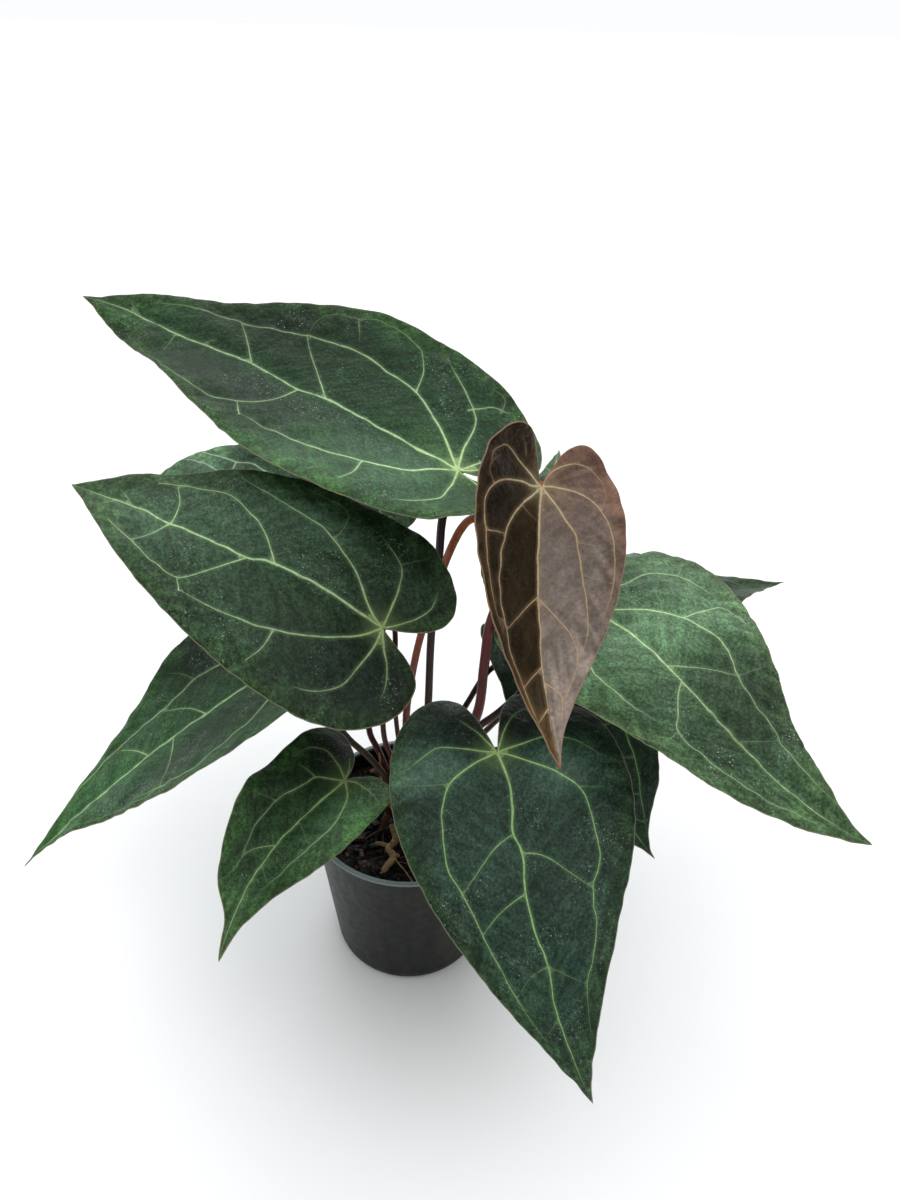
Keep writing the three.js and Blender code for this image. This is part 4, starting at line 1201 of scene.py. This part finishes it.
    relief = plus(*(times(patterns[key], height) for key, height in RELIEFS.items()))
    roughness = band(grain, 0.3, 0.7, *((0.38, 0.28) if is_bronze else (0.5, 0.4)))
    return shader.finish(
        colour, roughness, Normal=shader.bump(relief, 0.7, 0.0006),
        Specular_IOR_Level=0.1 if is_bronze else 0.13,
        Sheen_Weight=0.0 if is_bronze else 0.03, Sheen_Roughness=0.4, Sheen_Tint=srgb((190, 205, 195)),
    )


def stalk_material(leaf):
    """Smooth stalk: red-brown to olive from the crown up, with fine lengthwise streaks."""
    low, high = srgb(leaf["stalk_low"]), srgb(leaf["stalk_high"])
    shader = new_material(f"stalk_{leaf['name']}")
    band, mix = shader.band, shader.mix
    streaks = shader.noise(shader.mapped(shader.place, Scale=(900, 900, 40)), 1.0, 3)
    blotches = shader.noise(shader.place, 160, 3)
    darker = (*(0.45 * c for c in low[:3]), 1.0)
    lighter = (*(min(1.0, c * 1.7 + 0.01) for c in high[:3]), 1.0)
    colour = mix(band(shader.value("share"), 0.1, 0.9), low, high)
    colour = mix(band(streaks, 0.45, 0.7, 0, 0.45), colour, darker)
    colour = mix(band(blotches, 0.5, 0.75, 0, 0.3), colour, lighter)
    roughness, normal = band(blotches, 0.3, 0.7, 0.34, 0.5), shader.bump(streaks, 0.3, 0.0002)
    return shader.finish(colour, roughness, Normal=normal, Specular_IOR_Level=0.3)


def pot_material():
    """Thin dark plastic, faintly streaked, lighter towards the top, with a painted highlight along the rim.
    """
    shader = new_material("pot_plastic_fine")
    band, mix = shader.band, shader.mix
    height = shader.add("SeparateXYZ", "Z", Vector=shader.place)
    streaks = shader.noise(shader.mapped(shader.place, Scale=(170, 170, 9)), 1.0, 4)
    scuffs = shader.noise(shader.place, 220, 5, 0.7)
    colour = mix(band(height, 0.0, POT_HEIGHT * MM), srgb((7, 11, 8)), srgb((15, 18, 13)))
    colour = mix(band(streaks, 0.42, 0.72, 0, 0.6), colour, srgb((34, 35, 26)))
    colour = mix(band(scuffs, 0.58, 0.8, 0, 0.12), colour, srgb((64, 68, 64)))
    # Painted highlight: a pale band along the rim, fainter on a thin line 0.9 mm above its foot.
    rim_low = (POT_HEIGHT - RIM_DEPTH) * MM
    rim_highlight = band(height, rim_low, rim_low + 0.5 * MM)
    from_groove = shader.math("ABSOLUTE", shader.math("SUBTRACT", height, rim_low + 0.9 * MM))
    groove = band(from_groove, 0.1 * MM, 0.4 * MM)
    colour = mix(shader.times(rim_highlight, band(groove, 0, 1, 0.35, 0.85)), colour, srgb((146, 160, 158)))
    roughness, normal = band(scuffs, 0.3, 0.8, 0.4, 0.55), shader.bump(scuffs, 0.08, 0.0003)
    return shader.finish(colour, roughness, Normal=normal, Specular_IOR_Level=0.18)


# Tones of the mix, by the value from which each one holds: fines, chips, roots, white grains
MIX_TONES = [
    (0.0, (9, 7, 6)), (0.2, (15, 11, 9)), (0.4, (25, 17, 14)), (0.6, (66, 46, 43)),
    (0.75, (122, 92, 88)), (0.87, (184, 148, 112)), (0.95, (206, 196, 182)),
]


def mix_material():
    """Bark mix: almost black fines, with purple-brown and tan chips, white grains and fibres by kind."""
    shader = new_material("bark_mix_fine")
    band = shader.band
    tones = shader.add("ValToRGB", "Color", Fac=shader.value("tone"))
    ramp = tones.node.color_ramp
    ramp.interpolation = "CONSTANT"
    for i, (position, colour) in enumerate(MIX_TONES):
        element = ramp.elements[i] if i < 2 else ramp.elements.new(position)
        element.position, element.color = position, srgb(colour)
    grain = shader.noise(shader.place, 900, 5, 0.7)
    patches = shader.noise(shader.place, 240, 3)
    colour = shader.mix(band(grain, 0.45, 0.7, 0, 0.75), tones, srgb((7, 5, 5)))
    colour = shader.mix(band(patches, 0.58, 0.8, 0, 0.15), colour, srgb((84, 62, 50)))
    return shader.finish(colour, band(grain, 0.3, 0.7, 0.55, 0.9), Normal=shader.bump(grain, 0.7, 0.0006))


def crown_material():
    """Woody crown: brown with papery pale scars and reddish stain."""
    shader = new_material("crown_bark")
    streaks = shader.noise(shader.mapped(shader.place, Scale=(200, 200, 700)), 1.0, 4)
    stain = shader.band(shader.noise(shader.place, 320, 4), 0.5, 0.75, 0, 0.6)
    colour = shader.mix(streaks, srgb((58, 36, 26)), srgb((132, 92, 66)))
    colour = shader.mix(shader.value("tone"), colour, srgb((196, 140, 118)))
    colour = shader.mix(stain, colour, srgb((96, 40, 32)))
    return shader.finish(colour, 0.72, Normal=shader.bump(streaks, 0.6, 0.0006))


def floor_material():
    shader = new_material("pale_floor")
    colour = shader.mix(shader.noise(shader.place, 3, 2), srgb((244, 245, 247)), srgb((248, 249, 250)))
    return shader.finish(colour, 0.8)


# Stalks

def stalk_line(leaf):
    normal = blade_axes(leaf)[2]
    seat = np.array(leaf["at"], float)
    first = np.array(leaf["route"][0], float)
    foot = (first[0] * 0.2, first[1] * 0.2, first[2] - 7)
    guide = [foot, *leaf["route"], seat - KNEE_LENGTH * normal, seat - SEAT_DEPTH * normal]
    return evenly(centripetal_curve(guide, 40), STALK_STEP)


def build_stalk(leaf, seed):
    line = stalk_line(leaf)
    place = lengths_along(line)
    total = place[-1]
    sheath = 1 + (SHEATH_SWELL - 1) * np.maximum(0, 1 - place / SHEATH_LENGTH)
    knee = 1 + (KNEE_SWELL - 1) * np.maximum(0, 1 - np.abs(total - place - KNEE_LENGTH / 2) / KNEE_LENGTH)
    wobble = 1 + 0.04 * rough_noise(line, 11, seed)
    groove = 1 - 0.1 * np.clip(circle(STALK_SIDES)[:, 0], 0, 1) ** 6
    radii = (leaf["radius"] * sheath * knee * wobble)[:, None] * groove[None]
    flare = smooth_step(place, total - 2.5, total)
    radii = radii * (1 + 0.35 * flare)[:, None]
    vertices, faces, share = tube(line, radii, STALK_SIDES)
    stalk = make_object(f"stalk_{leaf['name']}", vertices, faces, [stalk_material(leaf)], {"share": share})
    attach(stalk, BODY)
    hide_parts(f"petiole_{leaf['name']}")


# Pot, bark mix and crown

def revolved(profile, sides):
    """Vertices and faces of a profile of radii and heights turned round the Z axis, open at the axis."""
    turns = circle(sides)
    rings = [np.column_stack([r * turns, np.full(sides, z)]) for r, z in profile]
    return np.vstack(rings), ring_faces(len(profile), sides)


def pot_wall_radius(height):
    share = (height - 6) / (POT_HEIGHT - RIM_DEPTH - 6)
    return POT_HEEL_RADIUS + (POT_NECK_RADIUS - POT_HEEL_RADIUS) * share


def rounded_profile(corners, radius=0.35):
    """The same profile with each inner corner cut by a small three-point round."""
    points = [corners[0]]
    for before, here, after in zip(corners, corners[1:], corners[2:]):
        here = np.array(here, float)
        toward = [np.array(p, float) - here for p in (before, after)]
        cuts = [here + d * min(radius, 0.45 * np.linalg.norm(d)) / np.linalg.norm(d) for d in toward]
        points += [tuple(cuts[0]), tuple(0.25 * cuts[0] + 0.5 * here + 0.25 * cuts[1]), tuple(cuts[1])]
    points.append(corners[-1])
    return points


def drain_centres():
    return [polar(DRAIN_CIRCLE, 2 * math.pi * i / DRAIN_HOLES + 0.3) for i in range(DRAIN_HOLES)]


def pot_base(height, edge_radius, facing):
    """Flat round base with its drain holes: vertices and faces looking up or down."""
    loops = [edge_radius * circle(POT_SIDES)]
    loops += [centre + DRAIN_RADIUS * circle(DRAIN_SIDES) for centre in drain_centres()]
    edges, count = [], 0
    for loop in loops:
        edges += [(count + i, count + (i + 1) % len(loop)) for i in range(len(loop))]
        count += len(loop)
    flat = [Vector(p) for p in np.vstack(loops).tolist()]
    points, _, faces, _, _, _ = delaunay_2d_cdt(flat, edges, [], 1, 1e-4)
    holes = [Vector(centre) for centre in drain_centres()]
    ordered = []
    for a, b, c in faces:
        middle = (points[a] + points[b] + points[c]) / 3
        if min((middle - hole).length for hole in holes) > DRAIN_RADIUS:
            is_up = (points[b] - points[a]).cross(points[c] - points[a]) > 0
            ordered.append((a, b, c) if is_up == (facing > 0) else (a, c, b))
    return np.array([(p.x, p.y, height) for p in points]), ordered


def build_pot():
    neck = POT_HEIGHT - RIM_DEPTH
    corners = [
        (POT_FOOT_RADIUS, 0), (POT_FOOT_RADIUS + 2.6, 1), (POT_FOOT_RADIUS + 4.2, 3), (POT_HEEL_RADIUS, 6),
        (POT_NECK_RADIUS, neck), (POT_RIM_RADIUS, neck + 0.5), (POT_RIM_RADIUS, POT_HEIGHT),
        (POT_NECK_RADIUS - POT_WALL, POT_HEIGHT), (POT_NECK_RADIUS - POT_WALL, neck),
        (POT_HEEL_RADIUS - POT_WALL, 6), (POT_FOOT_RADIUS + 2.6, 2.6), (POT_FOOT_RADIUS - 1, POT_FLOOR),
    ]
    wall = revolved(rounded_profile(corners), POT_SIDES)
    under = pot_base(0.0, POT_FOOT_RADIUS, -1)
    floor = pot_base(POT_FLOOR, POT_FOOT_RADIUS - 1, 1)
    parts = [(*wall, 0.0), (*under, 0.0), (*floor, 0.0)]
    for centre in drain_centres():
        vertices, faces = revolved([(DRAIN_RADIUS, POT_FLOOR), (DRAIN_RADIUS, 0.0)], DRAIN_SIDES)
        parts.append((vertices + (*centre, 0), faces, 0.0))
    vertices, faces, _ = joined(parts)
    pot = make_object("nursery_pot", vertices, faces, [pot_material()])
    weld(pot)
    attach(pot, BODY)
    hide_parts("pot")


def weld(piece):
    """Joins vertices that lie on one another, so that the mesh is one closed skin."""
    mesh = bmesh.new()
    mesh.from_mesh(piece.data)
    bmesh.ops.remove_doubles(mesh, verts=mesh.verts, dist=1e-5)
    bmesh.ops.recalc_face_normals(mesh, faces=mesh.faces)
    mesh.to_mesh(piece.data)
    mesh.free()


def chip(random, size):
    """An angular bark chip: a box with cut corners, each corner pulled in by its own share."""
    corners = np.array(list(itertools.product((-1, 1), repeat=3)), float)
    corners *= random.uniform(0.6, 1.0, (8, 1)) * np.array(size) / 2
    faces = [(0, 1, 3, 2), (4, 6, 7, 5), (0, 4, 5, 1), (2, 3, 7, 6), (0, 2, 6, 4), (1, 5, 7, 3)]
    centres = [corners[list(f)].mean(axis=0) * random.uniform(1.0, 1.25) for f in faces]
    vertices = np.vstack([corners, centres])
    split = [(f[k], f[(k + 1) % 4], 8 + i) for i, f in enumerate(faces) for k in range(4)]
    turn = Matrix.Identity(3)
    for axis, low, high in (("Z", 0, 6.3), ("X", -0.7, 0.7), ("Y", -0.6, 0.6)):
        turn = turn @ Matrix.Rotation(random.uniform(low, high), 3, axis)
    return vertices @ np.array(turn).T, split


def mix_surface(top_radius):
    """Rough top of the mix with its side and underside, as one closed plug."""
    rings, sides = 40, 110
    profile = [(0.01, 1.8), (POT_FOOT_RADIUS - 1.5, 1.8), (POT_FOOT_RADIUS + 2, 3.4)]
    profile += [(pot_wall_radius(6.5) - POT_WALL - 0.5, 6.5), (top_radius, MIX_LEVEL)]
    profile += [(top_radius * (rings - i) / rings, MIX_LEVEL) for i in range(1, rings)]
    profile.append((0.01, MIX_LEVEL))
    vertices, faces = revolved(profile, sides)
    on_top = vertices[:, 2] > MIX_LEVEL - 0.01
    top = vertices[on_top]
    top[:, 2] += 2.2 * rough_noise(top, 7, 3) + 0.9 * rough_noise(top, 2.6, 8)
    vertices[on_top] = top
    return vertices, faces


def build_mix():
    random = np.random.default_rng(7)
    top_radius = pot_wall_radius(MIX_LEVEL) - POT_WALL - 0.5
    parts = [(*mix_surface(top_radius), 0.05)]
    for i in range(CHIP_COUNT):
        is_white = random.random() < WHITE_SHARE
        size = random.uniform(1.2, 2.6, 3) if is_white else random.uniform((2.5, 2, 1), (9, 5, 3))
        if i >= LARGE_CHIPS and not is_white:
            size = size * 0.45
        vertices, faces = chip(random, size)
        distance = 8 + (top_radius - 12) * math.sqrt(random.random())
        angle = random.uniform(0, 2 * math.pi)
        place = (*polar(distance, angle), MIX_LEVEL + random.uniform(-0.4, 1.6))
        tone = WHITE_TONE if is_white else random.choice(CHIP_TONES)
        parts.append((vertices + np.array(place), faces, tone))
    for _ in range(FIBRE_COUNT):
        angle, spin = random.uniform(0, 2 * math.pi, 2)
        distance = (top_radius - 10) * math.sqrt(random.random())
        middle = np.array((*polar(distance, angle), MIX_LEVEL + 1.6))
        reach = random.uniform(4, 11)
        bow = random.uniform(-2, 2)
        u = np.linspace(-1, 1, 9)[:, None]
        arch = 1 - u * u
        ahead, aside = polar(1, spin), polar(1, spin + math.pi / 2)
        line = middle + np.hstack([ahead * reach * u + aside * bow * arch, 1.2 * arch])
        vertices, faces, _ = tube(line, np.full(9, random.uniform(0.16, 0.4)), 6)
        parts.append((vertices, faces, random.choice(FIBRE_TONES)))
    for guide, thickness, tone in SURFACE_ROOTS:
        line = evenly(centripetal_curve(guide, 16), 0.8)
        knobs = 1 + 0.45 * rough_noise(line, 2.4, 0.7)
        vertices, faces, _ = tube(line, thickness * knobs, 12)
        parts.append((vertices, faces, tone))
    vertices, faces, tone = joined(parts)
    limit = top_radius + 0.2
    radius = np.hypot(vertices[:, 0], vertices[:, 1])
    vertices[:, :2] *= np.minimum(1, limit / np.maximum(radius, 1e-6))[:, None]
    mix = make_object("bark_mix", vertices, faces, [mix_material()], {"tone": tone}, smooth=False)
    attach(mix, BODY)
    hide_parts("potting_mix")


def build_crown():
    """Short scarred stem with thick roots that arch into the mix."""
    random = np.random.default_rng(5)
    profile = [(0.01, CROWN_FOOT)]
    for share in np.linspace(0, 1, CROWN_LEVELS + 1):
        scar = 0.55 * max(0.0, math.sin(2 * math.pi * share * CROWN_SCARS)) ** 6
        radius = CROWN_RADIUS + (CROWN_TOP_RADIUS - CROWN_RADIUS) * share ** 2 - scar
        profile.append((radius, CROWN_FOOT + (CROWN_TOP - 1.5 - CROWN_FOOT) * share))
    profile += [(CROWN_TOP_RADIUS * 0.6, CROWN_TOP - 0.6), (0.01, CROWN_TOP)]
    vertices, faces = revolved(profile, 48)
    push = 0.5 * rough_noise(vertices, 5, 2)[:, None] * vertices * np.array((1, 1, 0)) / CROWN_RADIUS
    parts = [(vertices + push, faces, 0.0)]
    for i in range(CROWN_ROOTS):
        angle = 2 * math.pi * i / CROWN_ROOTS + random.uniform(-0.2, 0.2)
        reach = random.uniform(15, 24)
        top = random.uniform(82, 90)
        stops = ((5, top), (reach * 0.6, top - 1), (reach, MIX_LEVEL - 3))
        guide = [(*polar(distance, angle), height) for distance, height in stops]
        line = evenly(centripetal_curve(guide, 14), 1.5)
        radii = np.linspace(1.7, 1.2, len(line)) * random.uniform(0.8, 1.1)
        vertices, faces, _ = tube(line, radii, 10)
        parts.append((vertices, faces, random.uniform(0.1, 0.5)))
    vertices, faces, tone = joined(parts)
    crown = make_object("crown_stem_fine", vertices, faces, [crown_material()], {"tone": tone})
    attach(crown, BODY)
    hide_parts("crown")


# Dry sheaths at the feet of the stalks: foot, tip, width
SHEATHS = [
    ((-8, 1, 84), (-15, 6, 117), 5.0), ((-3, -8, 85), (-5, -10, 112), 4.5), ((5, 6, 86), (8, 8, 113), 4.0),
    ((8, -3, 84), (15, -5, 106), 4.5), ((-5, 8, 84), (-10, 11, 110), 4.0),
]


def build_sheaths():
    """Papery sheaths: narrow cupped blades, pinkish cream, that stand between the stalks."""
    random = np.random.default_rng(12)
    lengthwise, widthwise = 14, 6
    columns = widthwise + 1
    parts = []
    for foot, tip, width in SHEATHS:
        foot, rise = np.array(foot, float), np.subtract(tip, foot).astype(float)
        out = np.array((foot[0], foot[1], 0.0))
        out /= np.linalg.norm(out)
        across = np.cross(rise / np.linalg.norm(rise), out)
        points = []
        for u in np.linspace(0, 1, lengthwise + 1):
            half = width / 2 * (1 - u ** 2.2) ** 0.8 + 0.12
            centre = foot + rise * u + out * (1.2 * math.sin(math.pi * u) + random.uniform(-0.15, 0.15))
            for v in np.linspace(-1, 1, columns):
                points.append(centre + across * half * v + out * 0.5 * half * (1 - v * v))
        outer = np.array(points)
        count = len(outer)
        starts = [i * columns + k for i in range(lengthwise) for k in range(widthwise)]
        quads = [(a, a + columns, a + columns + 1, a + 1) for a in starts]
        faces = quads + [tuple(q + count for q in quad[::-1]) for quad in quads]
        faces += [(b, a, a + count, b + count) for a, b in border_edges(quads)]
        parts.append((np.vstack([outer, outer - out * 0.25]), faces, random.uniform(0.5, 1.0)))
    vertices, faces, tone = joined(parts)
    sheaths = make_object("dry_sheaths", vertices, faces, [crown_material()], {"tone": tone})
    weld(sheaths)
    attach(sheaths, BODY)


# Floor, light and camera

def build_stage():
    corners = [(x * FLOOR_REACH, y * FLOOR_REACH, 0) for x, y in ((-1, -1), (1, -1), (1, 1), (-1, 1))]
    floor = make_object("floor", corners, [(0, 1, 2, 3)], [floor_material()])
    world = bpy.data.worlds.new("soft_white")
    sky = Shader(world)
    direction = sky.add("SeparateXYZ", "X", Vector=sky.add("TexCoord", "Generated")).node.outputs
    blend = {"operation": "MULTIPLY_ADD"}
    toward_back = sky.add("Math", 0, blend, s0=direction["X"], s1=-0.5, s2=direction["Y"])
    background = sky.nodes["Background"].inputs
    sky.feed(background["Strength"], sky.band(toward_back, -0.1, 0.6, 0.12, 1.02))
    sky.feed(background["Color"], srgb((250, 251, 253)))
    scene = bpy.context.scene
    scene.world = world
    scene.view_settings.view_transform = "Standard"
    for name, energy, spread, toward in LAMPS:
        sun = bpy.data.lights.new(name, "SUN")
        sun.energy = energy
        sun.angle = math.radians(spread)
        lamp = bpy.data.objects.new(name, sun)
        lamp.rotation_euler = Vector(toward).to_track_quat("Z", "Y").to_euler()
        scene.collection.objects.link(lamp)


def build_camera():
    data = bpy.data.cameras.new("camera")
    data.sensor_width = 36
    data.lens = 36 * FOCAL_PIXELS / IMAGE_HEIGHT
    camera = bpy.data.objects.new("camera", data)
    tilt = Matrix.Rotation(math.radians(90 - CAMERA_PITCH), 4, "X")
    roll = Matrix.Rotation(math.radians(CAMERA_ROLL), 4, "Z")
    camera.matrix_world = Matrix.Translation(CAMERA_PLACE) @ tilt @ roll
    bpy.context.scene.collection.objects.link(camera)
    bpy.context.scene.camera = camera


build_camera()
build_stage()
for number, leaf in enumerate(map(leaf_values, SHAPES)):
    build_blade(leaf, number * 3.7)
    build_stalk(leaf, number * 2.3)
build_pot()
build_mix()
build_crown()
build_sheaths()
